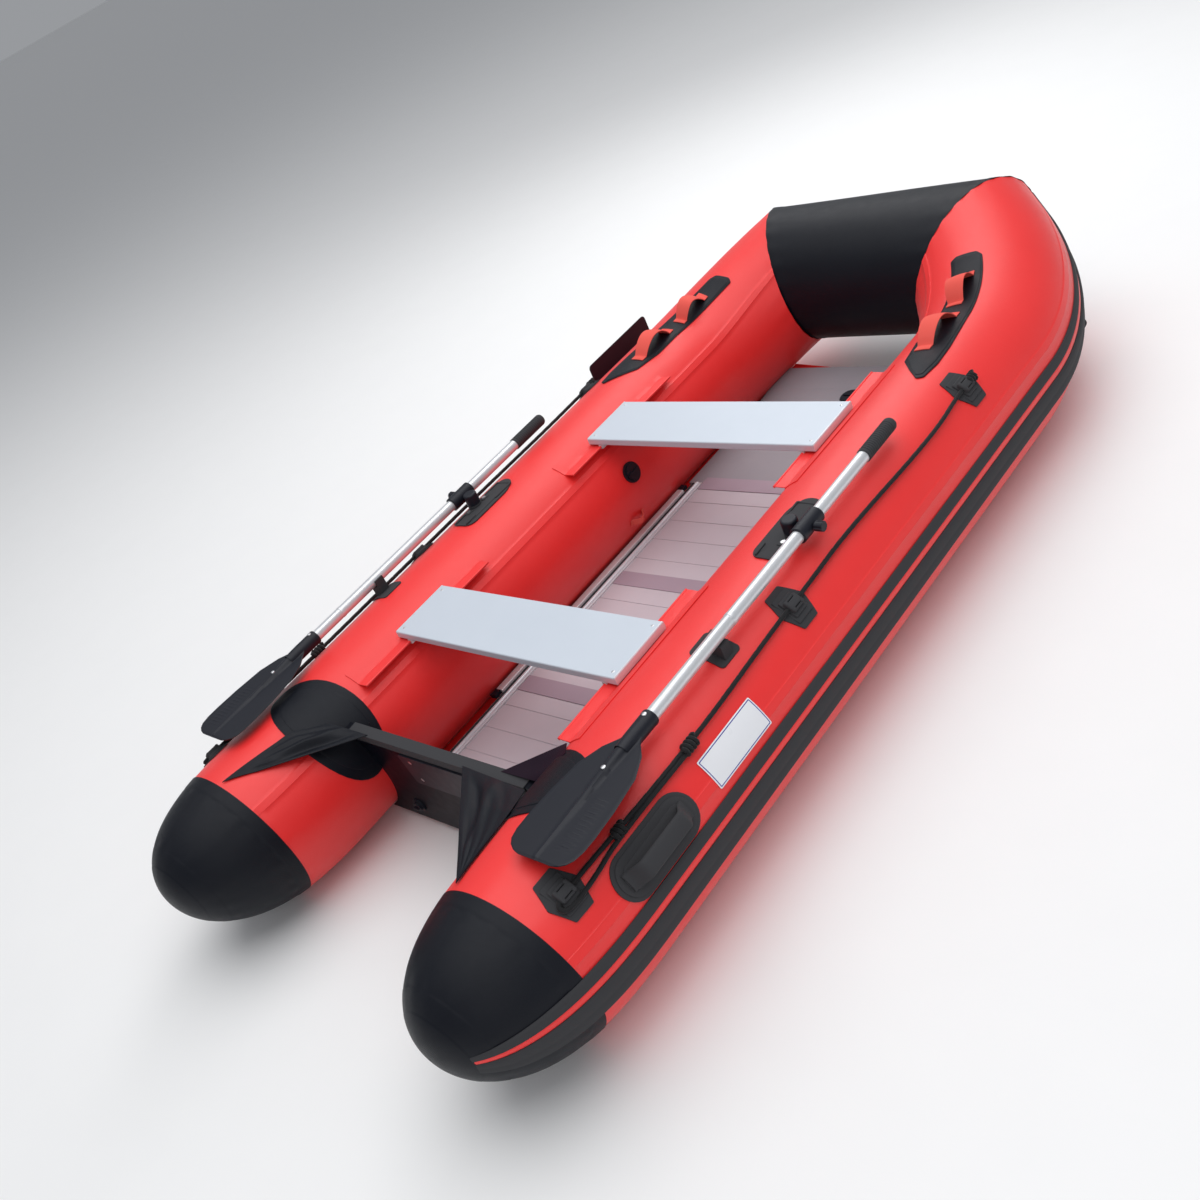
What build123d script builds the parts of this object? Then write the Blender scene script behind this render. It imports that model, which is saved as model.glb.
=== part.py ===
"""Inflatable dinghy, 3 m long and 1.5 m wide, with an aluminium floor, two sliding benches and two oars.

Millimetres. +Y points to the bow, +X to starboard and +Z up. The origin is on the ground under
the middle of the boat's length, where the two side tubes touch down. Starboard pieces are
modelled, and port pieces are their mirror images.
"""

from build123d import *
import os
from math import cos, pi, radians, sin, sqrt

# ---------------------------------------------------------------- driving dimensions
# buoyancy tubes
tube_radius = 220.0
half_spacing = 529.0
fabric = 1.2
gap = 0.3
cone_length = 500.0
cone_power = 3.14
cone_cant = 40.0
cone_seam_share = 0.464
cone_tip_radius = 30.0
stern_y = -1550.0
bend_start = 823.5
bend_radius = 703.0
bend_angle = 45.0
bow_rise = 125.0
baffle_y = 536.0
patch_thickness = 2.5

# rub strakes: first angle, last angle and height of each band
strake_bands = {"upper": (76.0, 84.0, 5.0), "lower": (88.0, 104.0, 9.0)}
strake_start_share = 0.83

# floor, keel and bottom
floor_height = 75.0
board_thickness = 12.0
board_half_width = 304.0
board_joints = (-912.0, -459.0, 16.0, 491.0)
board_groove = 4.0
board_groove_depth = 1.5
board_grooves = 4
board_skin = 3.0
board_web = 4.0
joiner_width = 60.0
joiner_wall = 2.0
bow_board_end = 1096.0
channel_inner = 286.0
channel_outer = 322.0
channel_wall = 4.0
rail_outer = 342.0
rail_top = 92.0
rail_start = -517.0
rail_end = 432.0
end_cap_length = 26.0
bottom_edge_height = 46.0
bottom_low_height = 6.0
keel_half_width = 90.0
bottom_end = 1156.0

# transom
transom_rake = 3.0
transom_thickness = 27.0
transom_foot_y = -946.0
transom_foot_height = 28.0
transom_height = 332.0
cap_depth = 24.0
cap_wall = 2.5
cap_half_length = 335.0
motor_pad_width = 300.0
motor_pad_height = 110.0
motor_pad_thickness = 6.0
pad_below_cap = 6.0
pad_corner = 12.0
screw_radius = 3.0
screw_head = 3.0
screw_spread = 0.75
screw_height_spread = 0.6
drain_x = -250.0
drain_height = 60.0
drain_radius = 22.0

# benches
bench_length = 809.0
bench_width = 200.0
bench_thickness = 22.0
bench_top = 427.5
bench_wall = 2.0
bench_places = {"aft": -561.0, "front": 333.0}
web_places = (-580.0, 350.0)
web_length = 520.0
web_thickness = 2.4
web_edge_x = 362.0
bead_radius = 3.6
running_gap = 0.5

# oars and oarlocks
oar_x = 618.0
oar_height = 470.0
oar_tip_y = -1176.0
blade_length = 342.0
blade_half_width = 95.0
blade_thickness = 6.0
socket_length = 62.0
socket_radius = 20.0
shaft_radius = 16.0
shaft_wall = 1.5
grip_start_y = 136.0
grip_end_y = 276.0
grip_radius = 18.5
pivot_x = 570.0
pivot_y = -130.0
boss_radius = 21.0
boss_top = 450.0
pin_radius = 9.0
collar_radius = 21.5
collar_length = 87.0
stud_radius = 5.0
knob_radius = 13.0
knob_length = 22.0
button_radius = 4.0
base_length = 230.0
base_width = 86.0
base_corner = 30.0
base_ahead = 18.0
base_angle = 4.0
ear_inboard = 6.0
ear_spread = 36.0
ear_width = 26.0
ear_length = 22.0
ear_depth = 24.0
bolt_radius = 6.5
bolt_head = 3.0
dip_room = 3.5
clip_y = -522.0
clip_length = 30.0

# rope fittings
rope_radius = 5.5
rope_lift = 11.0
rope_patch_angle = 38.0
rope_patch_places = (-1184.0, -321.0, 538.0)
rope_hole_radius = 6.0
rope_tail_end = -754.0
rope_turn = 13.0

# handles
stern_handle_y = -979.0
stern_handle_angle = 59.0
strap_width = 45.0
strap_thickness = 3.0
strap_rise = 42.0
strap_foot = 24.0
strap_places = ((-88.0, -6.0, 0.0), (150.0, -10.0, 3.2))

# valves
valve_y = 265.0
valve_angle = -73.0
valve_radius = 33.0
valve_flange = 4.0
valve_bore = 14.0
valve_shank = 20.0
valve_depth = 26.0
cap_radius = 25.0
stem_radius = 5.0
stem_travel = 4.0

# panels
name_panel_y = -681.0
name_panel_length = 202.0
name_panel_width = 77.0
plate_y = 826.0
plate_length = 330.0
plate_height = 125.0
plate_top = 410.0
plate_x = -754.0

os.makedirs("parts", exist_ok=True)

# ---------------------------------------------------------------- values worked out from them
taper_start = stern_y + cone_length
bow_y = bend_start + bend_radius * sin(radians(bend_angle))
corner_x = half_spacing - bend_radius * (1 - cos(radians(bend_angle)))
rise_length = bow_y - bend_start
socket_end_y = oar_tip_y + blade_length + socket_length


def write(piece, name):
    """Label a finished piece and write its STEP file."""
    piece.label = name
    export_step(piece, f"parts/{name}.step")


def write_both(piece, name):
    """Write a starboard piece and its port mirror image as two nodes."""
    write(piece, f"{name}_starboard")
    write(piece.mirror(Plane.YZ), f"{name}_port")


def write_pair(piece, name):
    """Write a starboard piece and its port mirror image as one node."""
    with BuildPart() as pair:
        add(piece)
        mirror(piece, about=Plane.YZ)
    write(pair.part, name)


def rise(y):
    """How far the boat's bottom line has climbed at station y."""
    share = max(0.0, (y - bend_start) / rise_length)
    return bow_rise * share**2


def cone_radius(share):
    """Tube radius along the stern taper, from full size at 0 to the tip at 1."""
    return max(cone_tip_radius, tube_radius * sqrt(max(0.0, 1 - share**cone_power)))


def cone_plane(share):
    """A plane square to the stern taper, x outboard and y up."""
    origin = (half_spacing, taper_start - share * cone_length, tube_radius + cone_cant * share**2)
    return Plane(origin=origin, x_dir=(1, 0, 0), z_dir=(0, -1, 0))


def bend_plane(angle):
    """A plane square to the tube after it has turned by angle degrees, x outboard and y up."""
    a = radians(angle)
    y = bend_start + bend_radius * sin(a)
    centre = Vector(half_spacing - bend_radius * (1 - cos(a)), y, tube_radius + rise(y))
    slope = 2 * bow_rise * (y - bend_start) / rise_length**2
    back = Vector(sin(a), -cos(a), -slope * cos(a))
    return Plane(origin=centre, x_dir=(cos(a), sin(a), 0), z_dir=back)


def tube_plane(y, angle, lift=0.0):
    """A plane on the straight tube's surface, x along the boat, z outwards, angle 0 on top."""
    normal = Vector(sin(radians(angle)), 0, cos(radians(angle)))
    origin = Vector(half_spacing, y, tube_radius) + normal * (tube_radius + lift)
    return Plane(origin=origin, x_dir=(0, 1, 0), z_dir=normal)


def surface_plane(distance, angle, lift=0.0):
    """The same, at a distance along the tube's axis from the start of the bend."""
    if distance <= 0:
        return tube_plane(bend_start + distance, angle, lift)
    station = bend_plane(distance / radians(1) / bend_radius)
    normal = station.x_dir * sin(radians(angle)) + station.y_dir * cos(radians(angle))
    origin = station.origin + normal * (tube_radius + lift)
    return Plane(origin=origin, x_dir=station.z_dir * -1, z_dir=normal)


corner = bend_plane(bend_angle)
mitre = Plane(origin=corner.origin, z_dir=corner.z_dir * -1 + Vector(-1, 0, 0))
mitre_reach = tube_radius * 0.6
bend_turns = (0, 9, 18, 27, 36, bend_angle)
straight_start = Plane(origin=(half_spacing, taper_start, tube_radius), x_dir=(1, 0, 0), z_dir=(0, -1, 0))


# ---------------------------------------------------------------- buoyancy tubes
def side_tube(skin):
    """The side tube as a full solid, skin millimetres inside its outer face."""
    with BuildPart() as body:
        for share in (cone_seam_share, 0.34, 0.17, 0):
            with BuildSketch(cone_plane(share)):
                Circle(cone_radius(share) - skin)
        loft()
        with BuildSketch(straight_start):
            Circle(tube_radius - skin)
        extrude(amount=taper_start - bend_start)
        for turn in bend_turns:
            with BuildSketch(bend_plane(turn)):
                Circle(tube_radius - skin)
        loft()
        with BuildSketch(corner):
            Circle(tube_radius - skin)
        extrude(amount=-mitre_reach)
        split(bisect_by=mitre, keep=Keep.BOTTOM)
    return body.part


def bow_tube_body(skin):
    """The cross tube at the bow as a full solid, mitred at both ends."""
    with BuildPart() as body:
        with BuildSketch(Plane(origin=(0, bow_y, corner.origin.Z), x_dir=(0, 1, 0), z_dir=(1, 0, 0))):
            Circle(tube_radius - skin)
        extrude(amount=corner_x + mitre_reach, both=True)
        split(bisect_by=mitre, keep=Keep.TOP)
        port_mitre_origin = (-corner.origin.X, corner.origin.Y, corner.origin.Z)
        port_mitre = Plane(origin=port_mitre_origin, z_dir=(-mitre.z_dir.X, mitre.z_dir.Y, mitre.z_dir.Z))
        split(bisect_by=port_mitre, keep=Keep.TOP)
    return body.part


def cone_body(skin):
    """The black stern cone as a full solid."""
    with BuildPart() as body:
        for share in (cone_seam_share, 0.6, 0.74, 0.84, 0.92, 0.97):
            with BuildSketch(cone_plane(share)):
                Circle(cone_radius(share) - skin)
        tip = (half_spacing, stern_y + skin, tube_radius + cone_cant)
        with BuildSketch(Plane(origin=tip, x_dir=(1, 0, 0), z_dir=(0, -1, 0))):
            Circle(cone_tip_radius - skin)
        loft()
    return body.part


def hollow(make):
    """A skin of fabric: the full solid less the same solid one fabric smaller."""
    with BuildPart() as shell:
        add(make(0))
        add(make(fabric), mode=Mode.SUBTRACT)
    return shell.part


patch_stock = side_tube(-gap - patch_thickness) - side_tube(-gap)
cleared_tube = side_tube(-gap)
boot_clear_tube = side_tube(-2 * gap - patch_thickness)


def patch(outline, depth=120.0):
    """A fabric patch on the tube: a flat outline pressed straight through the patch stock."""
    with BuildPart() as piece:
        add(extrude(outline, amount=depth, both=True, mode=Mode.PRIVATE))
        add(patch_stock, mode=Mode.INTERSECT)
    return piece.part


def port_of(piece):
    """The port copy of a starboard piece."""
    return piece.mirror(Plane.YZ)


print("tubes")
with BuildPart() as tube:
    add(hollow(side_tube))
    with BuildSketch(tube_plane(valve_y, valve_angle)):
        Circle(valve_shank + running_gap)
    extrude(amount=fabric * 10, both=True, mode=Mode.SUBTRACT)
write_both(tube.part, "tube")
write(hollow(bow_tube_body), "bow_tube")
write_both(hollow(cone_body), "stern_cone")

with BuildPart() as baffle:
    with BuildSketch(Plane(origin=(half_spacing, baffle_y, tube_radius), x_dir=(1, 0, 0), z_dir=(0, 1, 0))):
        Circle(tube_radius - fabric - gap)
    extrude(amount=fabric)
write_pair(baffle.part, "chamber_baffles")


# ---------------------------------------------------------------- rub strakes
def strake_section(plane, radius, first, last, height):
    """A band of the ring round the tube between two angles from the top."""
    with BuildSketch(plane) as section:
        Circle(radius + gap + height)
        Circle(radius + gap, mode=Mode.SUBTRACT)
        reach = 2 * radius
        edges = [(reach * sin(radians(a)), reach * cos(radians(a))) for a in (first, last)]
        Polygon((0, 0), *edges, align=None, mode=Mode.INTERSECT)
    return section.sketch


def strake(first, last, height):
    """One rub strake, from the stern cone to the bow corner."""
    shares = (strake_start_share, 0.74, 0.6, cone_seam_share, 0.34, 0.17, 0)
    taper = [strake_section(cone_plane(s), cone_radius(s), first, last, height) for s in shares]
    straight = strake_section(straight_start, tube_radius, first, last, height)
    bends = [strake_section(bend_plane(t), tube_radius, first, last, height) for t in bend_turns]
    with BuildPart() as band:
        loft(taper)
        extrude(straight, amount=taper_start - bend_start)
        loft(bends)
        extrude(bends[-1], amount=-mitre_reach * 2)
        split(bisect_by=mitre, keep=Keep.BOTTOM)
    return band.part


def bow_strake(first, last, height):
    """The strake across the front of the bow."""
    plane = Plane(origin=(0, bow_y, corner.origin.Z), x_dir=(0, 1, 0), z_dir=(-1, 0, 0))
    section = strake_section(plane, tube_radius, first, last, height)
    with BuildPart() as band:
        extrude(section, amount=corner_x + mitre_reach * 2, both=True)
        split(bisect_by=mitre, keep=Keep.TOP)
        port_mitre_origin = (-corner.origin.X, corner.origin.Y, corner.origin.Z)
        port_mitre = Plane(origin=port_mitre_origin, z_dir=(-mitre.z_dir.X, mitre.z_dir.Y, mitre.z_dir.Z))
        split(bisect_by=port_mitre, keep=Keep.TOP)
    return band.part


print("strakes")
for band_name, (first, last, height) in strake_bands.items():
    side = strake(first, last, height)
    front = bow_strake(first, last, height)
    pieces = [*side.solids(), *port_of(side).solids(), *front.solids()]
    write(Compound(children=pieces), f"rub_strakes_{band_name}")

# ---------------------------------------------------------------- bottom and keel
def bottom_section(y, inset, half_width):
    """The bottom's V section at station y, as a closed outline one fabric thick."""
    lift = rise(y)
    flat = keel_half_width
    low = bottom_low_height + lift
    high = bottom_edge_height + lift
    with BuildSketch(Plane(origin=(0, y, 0), x_dir=(1, 0, 0), z_dir=(0, -1, 0))) as section:
        Polygon(
            (-half_width, high),
            (-flat, low),
            (flat, low),
            (half_width, high),
            (half_width, high + inset),
            (flat, low + inset),
            (-flat, low + inset),
            (-half_width, high + inset),
            align=None,
        )
    return section.sketch


print("bottom")
bottom_start = transom_foot_y + transom_thickness + gap
bottom_stations = (bottom_start, bend_start, bend_start + 80, bend_start + 160, bend_start + 240, bottom_end)
bottom_half_width = half_spacing - sqrt(tube_radius**2 - (tube_radius - bottom_edge_height) ** 2) + 20
with BuildPart() as bottom:
    loft([bottom_section(y, fabric, bottom_half_width) for y in bottom_stations], ruled=True)
    add(cleared_tube, mode=Mode.SUBTRACT)
    add(port_of(cleared_tube), mode=Mode.SUBTRACT)
write(bottom.part, "bottom_sheet")


def keel_body(skin):
    """The inflatable keel between the bottom and the floor boards, as a full solid."""
    low = bottom_low_height + fabric + gap
    high = floor_height - board_thickness - joiner_wall - 2 * gap
    stations = (bottom_start + 30, bend_start, bend_start + 80)
    with BuildPart() as body:
        for y in stations:
            height = (low + high) / 2 + rise(y)
            shift = skin if y == stations[0] else (-skin if y == stations[-1] else 0)
            width = 2 * (keel_half_width - skin)
            depth = high - low - 2 * skin
            with BuildSketch(Plane(origin=(0, y + shift, height), x_dir=(1, 0, 0), z_dir=(0, -1, 0))):
                RectangleRounded(width, depth, depth / 2 - 0.5)
        loft(ruled=True)
    return body.part


write(hollow(keel_body), "keel_tube")

# ---------------------------------------------------------------- floor
print("floor")
groove_size = (2 * board_half_width, board_groove, board_groove_depth)
with BuildPart() as boards:
    for start, end in zip(board_joints, board_joints[1:]):
        trim = 2.0
        middle = (start + end) / 2
        length = end - start - 2 * trim
        with Locations((0, middle, floor_height - board_thickness / 2)):
            Box(2 * board_half_width, length, board_thickness)
        with Locations((0, middle, floor_height - board_groove_depth / 2)):
            with GridLocations(0, length / (board_grooves + 1), 1, board_grooves):
                Box(*groove_size, mode=Mode.SUBTRACT)
        with Locations((0, middle, floor_height - board_thickness / 2)):
            with GridLocations(0, length / (board_grooves + 1), 1, board_grooves + 1):
                Box(2 * board_half_width, length / (board_grooves + 1) - board_web,
                    board_thickness - 2 * board_skin, mode=Mode.SUBTRACT)
write(boards.part, "floor_boards")

bow_start = board_joints[-1] + 2.0
bow_line = [(y, rise(y)) for y in (bend_start, bend_start + 90, bend_start + 180, bow_board_end)]
floor_valve_y = (bow_line[1][0] + bow_line[2][0]) / 2
floor_valve_rise = (bow_line[1][1] + bow_line[2][1]) / 2
floor_valve_slope = (bow_line[2][1] - bow_line[1][1]) / (bow_line[2][0] - bow_line[1][0])
floor_seat = Plane(
    origin=(0, floor_valve_y, floor_height + floor_valve_rise + gap),
    x_dir=(1, 0, 0),
    z_dir=(0, -floor_valve_slope, 1),
)
with BuildPart() as bow_board:
    with BuildSketch(Plane.YZ):
        with BuildLine():
            Polyline((bow_start, floor_height), *[(y, floor_height + z) for y, z in bow_line])
            Line((bow_board_end, floor_height + rise(bow_board_end)),
                 (bow_board_end, floor_height + rise(bow_board_end) - board_thickness))
            Polyline(*[(y, floor_height - board_thickness + z) for y, z in reversed(bow_line)],
                     (bow_start, floor_height - board_thickness))
            Line((bow_start, floor_height - board_thickness), (bow_start, floor_height))
        make_face()
    extrude(amount=rail_outer, both=True)
    add(cleared_tube, mode=Mode.SUBTRACT)
    add(port_of(cleared_tube), mode=Mode.SUBTRACT)
    with BuildSketch(floor_seat):
        Circle(valve_shank + running_gap)
    extrude(amount=4 * board_thickness, both=True, mode=Mode.SUBTRACT)
write(bow_board.part, "floor_board_bow")

with BuildPart() as joiners:
    for y in board_joints[1:]:
        with Locations((0, y, floor_height + joiner_wall / 2 + gap)):
            Box(2 * (channel_inner - 1), joiner_width, joiner_wall)
        with Locations((0, y, floor_height - board_thickness - joiner_wall / 2 - gap)):
            Box(2 * (channel_inner - 1), joiner_width, joiner_wall)
        with Locations((0, y, floor_height - board_thickness / 2)):
            Box(2 * (channel_inner - 1), 3, board_thickness + 2 * gap)
write(joiners.part, "floor_joiners")

channel_low = floor_height - board_thickness - gap - channel_wall
channel_high = floor_height + gap + channel_wall
channel_plane = Plane(origin=(0, board_joints[0], 0), x_dir=(1, 0, 0), z_dir=(0, -1, 0))
rail_plane = Plane(origin=(0, rail_start, 0), x_dir=(1, 0, 0), z_dir=(0, -1, 0))
with BuildPart() as stringer:
    with BuildSketch(channel_plane):
        with Locations(((channel_inner + channel_outer) / 2, (channel_low + channel_high) / 2)):
            Rectangle(channel_outer - channel_inner, channel_high - channel_low)
        with Locations(((channel_inner + board_half_width + 1) / 2, floor_height - board_thickness / 2)):
            Rectangle(board_half_width + 1 - channel_inner, board_thickness + 2 * gap, mode=Mode.SUBTRACT)
    extrude(amount=board_joints[0] - board_joints[-1])
    with BuildSketch(rail_plane):
        with Locations(((channel_outer + rail_outer) / 2 - 3, (channel_high + rail_top) / 2 - 7)):
            RectangleRounded(rail_outer - channel_outer + 6, rail_top - channel_high + 14, 3)
    extrude(amount=rail_start - rail_end)
    with BuildSketch(channel_plane):
        with Locations(((board_half_width + channel_outer) / 2 + 1, (channel_low + channel_high) / 2)):
            Rectangle(channel_outer - board_half_width - 8, channel_high - channel_low - 6)
    extrude(amount=board_joints[0] - board_joints[-1], mode=Mode.SUBTRACT)
    with BuildSketch(rail_plane):
        with Locations(((channel_outer + rail_outer) / 2, (channel_high + rail_top) / 2 + 1)):
            Rectangle(rail_outer - channel_outer - 6, rail_top - channel_high - 5)
    extrude(amount=rail_start - rail_end, mode=Mode.SUBTRACT)
write_pair(stringer.part, "floor_stringers")

with BuildPart() as end_caps:
    for y in (rail_start - end_cap_length / 2 - gap, rail_end + end_cap_length / 2 + gap):
        with Locations(((channel_outer + rail_outer) / 2 + 1, y, (channel_high + rail_top) / 2)):
            Box(rail_outer - channel_outer, end_cap_length, rail_top - channel_high - gap)
write_pair(end_caps.part, "stringer_end_caps")

# ---------------------------------------------------------------- transom
print("transom")
rake = radians(transom_rake)
transom_plane = Plane(
    origin=(0, transom_foot_y, transom_foot_height), x_dir=(1, 0, 0), z_dir=(0, -cos(rake), -sin(rake))
)
pad_middle = transom_height - cap_depth - motor_pad_height / 2 - pad_below_cap
screw_across = motor_pad_width * screw_spread / 2
screw_up = motor_pad_height * screw_height_spread / 2
screw_spots = [(x, pad_middle + y) for x in (-screw_across, screw_across) for y in (-screw_up, screw_up)]
with BuildPart() as transom:
    with BuildSketch(transom_plane):
        with Locations((0, transom_height / 2)):
            Rectangle(2 * half_spacing, transom_height)
    extrude(amount=-transom_thickness)
    add(boot_clear_tube, mode=Mode.SUBTRACT)
    add(port_of(boot_clear_tube), mode=Mode.SUBTRACT)
    with BuildSketch(transom_plane):
        with Locations((drain_x, drain_height)):
            Circle(drain_radius * 0.6)
        with Locations(*screw_spots):
            Circle(screw_radius + gap)
    extrude(amount=-transom_thickness, mode=Mode.SUBTRACT)
transom_board = transom.part.solids().filter_by(lambda s: abs(s.center().X) < half_spacing / 2)[0]
write(transom_board, "transom_board")

cap_plane = Plane(origin=transom_plane.origin, x_dir=(0, -cos(rake), -sin(rake)), z_dir=(1, 0, 0))
with BuildPart() as cap:
    with BuildSketch(cap_plane):
        with Locations((-transom_thickness / 2, -(transom_height - cap_depth / 2 + cap_wall / 2))):
            Rectangle(transom_thickness + 2 * cap_wall, cap_depth + cap_wall)
        with Locations((-transom_thickness / 2, -(transom_height - cap_depth / 2))):
            Rectangle(transom_thickness, cap_depth, mode=Mode.SUBTRACT)
    extrude(amount=cap_half_length, both=True)
write(cap.part, "transom_cap")

screw_head_radius = 2 * screw_radius
pocket_depth = screw_head + 2 * gap
with BuildPart() as pads:
    for offset in (0, -transom_thickness - motor_pad_thickness):
        with BuildSketch(transom_plane.offset(offset)):
            with Locations((0, pad_middle)):
                RectangleRounded(motor_pad_width, motor_pad_height, pad_corner)
            with Locations(*screw_spots):
                Circle(screw_radius + gap, mode=Mode.SUBTRACT)
        extrude(amount=motor_pad_thickness)
    for offset in (motor_pad_thickness - pocket_depth, -transom_thickness - motor_pad_thickness):
        with BuildSketch(transom_plane.offset(offset)):
            with Locations(*screw_spots):
                Circle(screw_head_radius + gap)
        extrude(amount=pocket_depth, mode=Mode.SUBTRACT)
write(pads.part, "motor_pads")

screw_top = motor_pad_thickness - gap
screw_end = -transom_thickness - motor_pad_thickness + gap
with BuildPart() as screws:
    with BuildSketch(transom_plane.offset(screw_top)):
        with Locations(*screw_spots):
            Circle(screw_radius)
    extrude(amount=screw_end - screw_top)
    for offset in (screw_top - screw_head, screw_end):
        with BuildSketch(transom_plane.offset(offset)):
            with Locations(*screw_spots):
                Circle(screw_head_radius)
        extrude(amount=screw_head)
write(screws.part, "motor_pad_screws")

with BuildPart() as drain:
    with BuildSketch(transom_plane):
        with Locations((drain_x, drain_height)):
            Circle(drain_radius)
    extrude(amount=5)
    with BuildSketch(transom_plane):
        with Locations((drain_x, drain_height)):
            Circle(drain_radius * 0.6 - gap)
    extrude(amount=-transom_thickness)
    with BuildSketch(transom_plane.offset(5)):
        with Locations((drain_x, drain_height)):
            Circle(drain_radius * 0.42)
    extrude(amount=-transom_thickness - 5, mode=Mode.SUBTRACT)
write(drain.part, "drain_valve")

with BuildPart() as plug:
    with BuildSketch(transom_plane.offset(5 + running_gap)):
        with Locations((drain_x, drain_height)):
            Circle(drain_radius * 0.7)
    extrude(amount=6)
    with BuildSketch(transom_plane.offset(5 + running_gap)):
        with Locations((drain_x, drain_height)):
            Circle(drain_radius * 0.42 - running_gap)
    extrude(amount=-16)
    with BuildSketch(transom_plane.offset(11 + running_gap)):
        with Locations((drain_x, drain_height)):
            RectangleRounded(drain_radius, 5, 2)
    extrude(amount=7)
write(plug.part, "drain_plug")

with BuildSketch(Plane.XY.offset(tube_radius + 120)) as boot_outline:
    with Locations((438, transom_foot_y - 28)):
        Ellipse(137, 100)
    Polygon((345, transom_foot_y - 70), (440, transom_foot_y - 307), (530, transom_foot_y - 70), align=None)
write_pair(patch(boot_outline.sketch), "transom_boots")

gusset_top_y = transom_foot_y - 22
gusset_corners = (
    Vector(165, gusset_top_y, 362),
    Vector(400, gusset_top_y, 372),
    Vector(430, transom_foot_y - 308, 424),
)
gusset_plane = Plane(
    origin=gusset_corners[0],
    x_dir=gusset_corners[1] - gusset_corners[0],
    z_dir=(gusset_corners[1] - gusset_corners[0]).cross(gusset_corners[2] - gusset_corners[0]),
)
with BuildPart() as gusset:
    with BuildSketch(gusset_plane):
        Polygon(*[tuple(gusset_plane.to_local_coords(c))[:2] for c in gusset_corners], align=None)
    extrude(amount=patch_thickness)
    add(boot_clear_tube, mode=Mode.SUBTRACT)
    add(transom_board, mode=Mode.SUBTRACT)
    add(cap.part, mode=Mode.SUBTRACT)
write_pair(gusset.part.solids().sort_by(SortBy.VOLUME)[-1], "transom_gussets")

# ---------------------------------------------------------------- benches
print("benches")
bench_low = bench_top - bench_thickness
bead_height = bench_low - bead_radius - running_gap - 2.2
strip_angles = (-38.0, -24.0)
web_stock_plane = Plane(origin=(half_spacing, 0, tube_radius), x_dir=(1, 0, 0), z_dir=(0, -1, 0))
with BuildPart() as webs:
    for middle in web_places:
        plane = web_stock_plane.offset(-(middle + web_length / 2))
        section = strake_section(plane, tube_radius, *strip_angles, web_thickness)
        extrude(section, amount=web_length)
        with BuildSketch(Plane(origin=(0, middle + web_length / 2, 0), x_dir=(1, 0, 0), z_dir=(0, -1, 0))):
            with Locations((web_edge_x, bead_height)):
                Circle(bead_radius)
            with Locations(((web_edge_x + 402) / 2, bead_height)):
                Rectangle(402 - web_edge_x, web_thickness)
        extrude(amount=web_length)
        add(cleared_tube, mode=Mode.SUBTRACT)
write_pair(webs.part, "bench_webs")

rail_hole = bead_radius + running_gap
for name, middle in bench_places.items():
    with BuildPart() as bench:
        with Locations((0, middle, bench_top - bench_thickness / 2)):
            Box(bench_length, bench_width, bench_thickness)
        fillet(bench.edges().filter_by(Axis.X), 4)
        with Locations((0, middle, bench_top - bench_thickness / 2)):
            Box(bench_length, bench_width - 8, bench_thickness - 2 * bench_wall, mode=Mode.SUBTRACT)
    write(bench.part, f"bench_{name}")
    with BuildPart() as rails:
        with BuildSketch(Plane(origin=(0, middle + bench_width / 2, 0), x_dir=(1, 0, 0), z_dir=(0, -1, 0))):
            with Locations((web_edge_x, (bench_low + bead_height - rail_hole - 2.4) / 2)):
                Rectangle(2 * (rail_hole + 2.4), bench_low - bead_height + rail_hole + 2.4)
            with Locations((web_edge_x, bead_height)):
                Circle(rail_hole, mode=Mode.SUBTRACT)
            with Locations((web_edge_x + 10, bead_height)):
                Rectangle(20, web_thickness + 2 * running_gap, mode=Mode.SUBTRACT)
        extrude(amount=bench_width)
    write_pair(rails.part, f"bench_rails_{name}")

# ---------------------------------------------------------------- oars
print("oars")
oar_plane = Plane(origin=(oar_x, 0, oar_height), x_dir=(1, 0, 0), z_dir=(0, -1, 0))


def oar_round(start, end, radius):
    """A round bar along the oar from one station to another."""
    with BuildPart() as bar:
        with BuildSketch(oar_plane.offset(-end)):
            Circle(radius)
        extrude(amount=end - start)
    return bar.part


half_blade = (
    (0.0, 0.0), (0.6, 0.01), (0.93, 0.08), (1.0, 0.2), (0.97, 0.45), (0.86, 0.7), (0.62, 0.86), (0.26, 1.0),
)
blade_edge = [(blade_half_width * w, oar_tip_y + blade_length * l) for w, l in half_blade]
blade_plane = Plane(origin=(oar_x, 0, oar_height), x_dir=(1, 0, 0), z_dir=(0, 0, 1))
with BuildPart() as blade:
    with BuildSketch(blade_plane):
        Polygon(*blade_edge, *[(-x, y) for x, y in reversed(blade_edge[1:])], align=None)
    extrude(amount=blade_thickness / 2, both=True)
    fillet(blade.edges().filter_by(Axis.Z), 8)
    add(oar_round(socket_end_y - socket_length - 40, socket_end_y, socket_radius))
    with BuildSketch(oar_plane.offset(-(socket_end_y - socket_length - 40))):
        Circle(socket_radius)
    with BuildSketch(oar_plane.offset(-(oar_tip_y + blade_length * 0.15))):
        Circle(blade_thickness * 0.8)
    loft()
    add(oar_round(socket_end_y - socket_length, socket_end_y, shaft_radius + gap), mode=Mode.SUBTRACT)
    with Locations((oar_x, socket_end_y - 14, oar_height + socket_radius)):
        Cylinder(button_radius + running_gap, 12, mode=Mode.SUBTRACT)
write_both(blade.part, "oar_blade")

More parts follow.
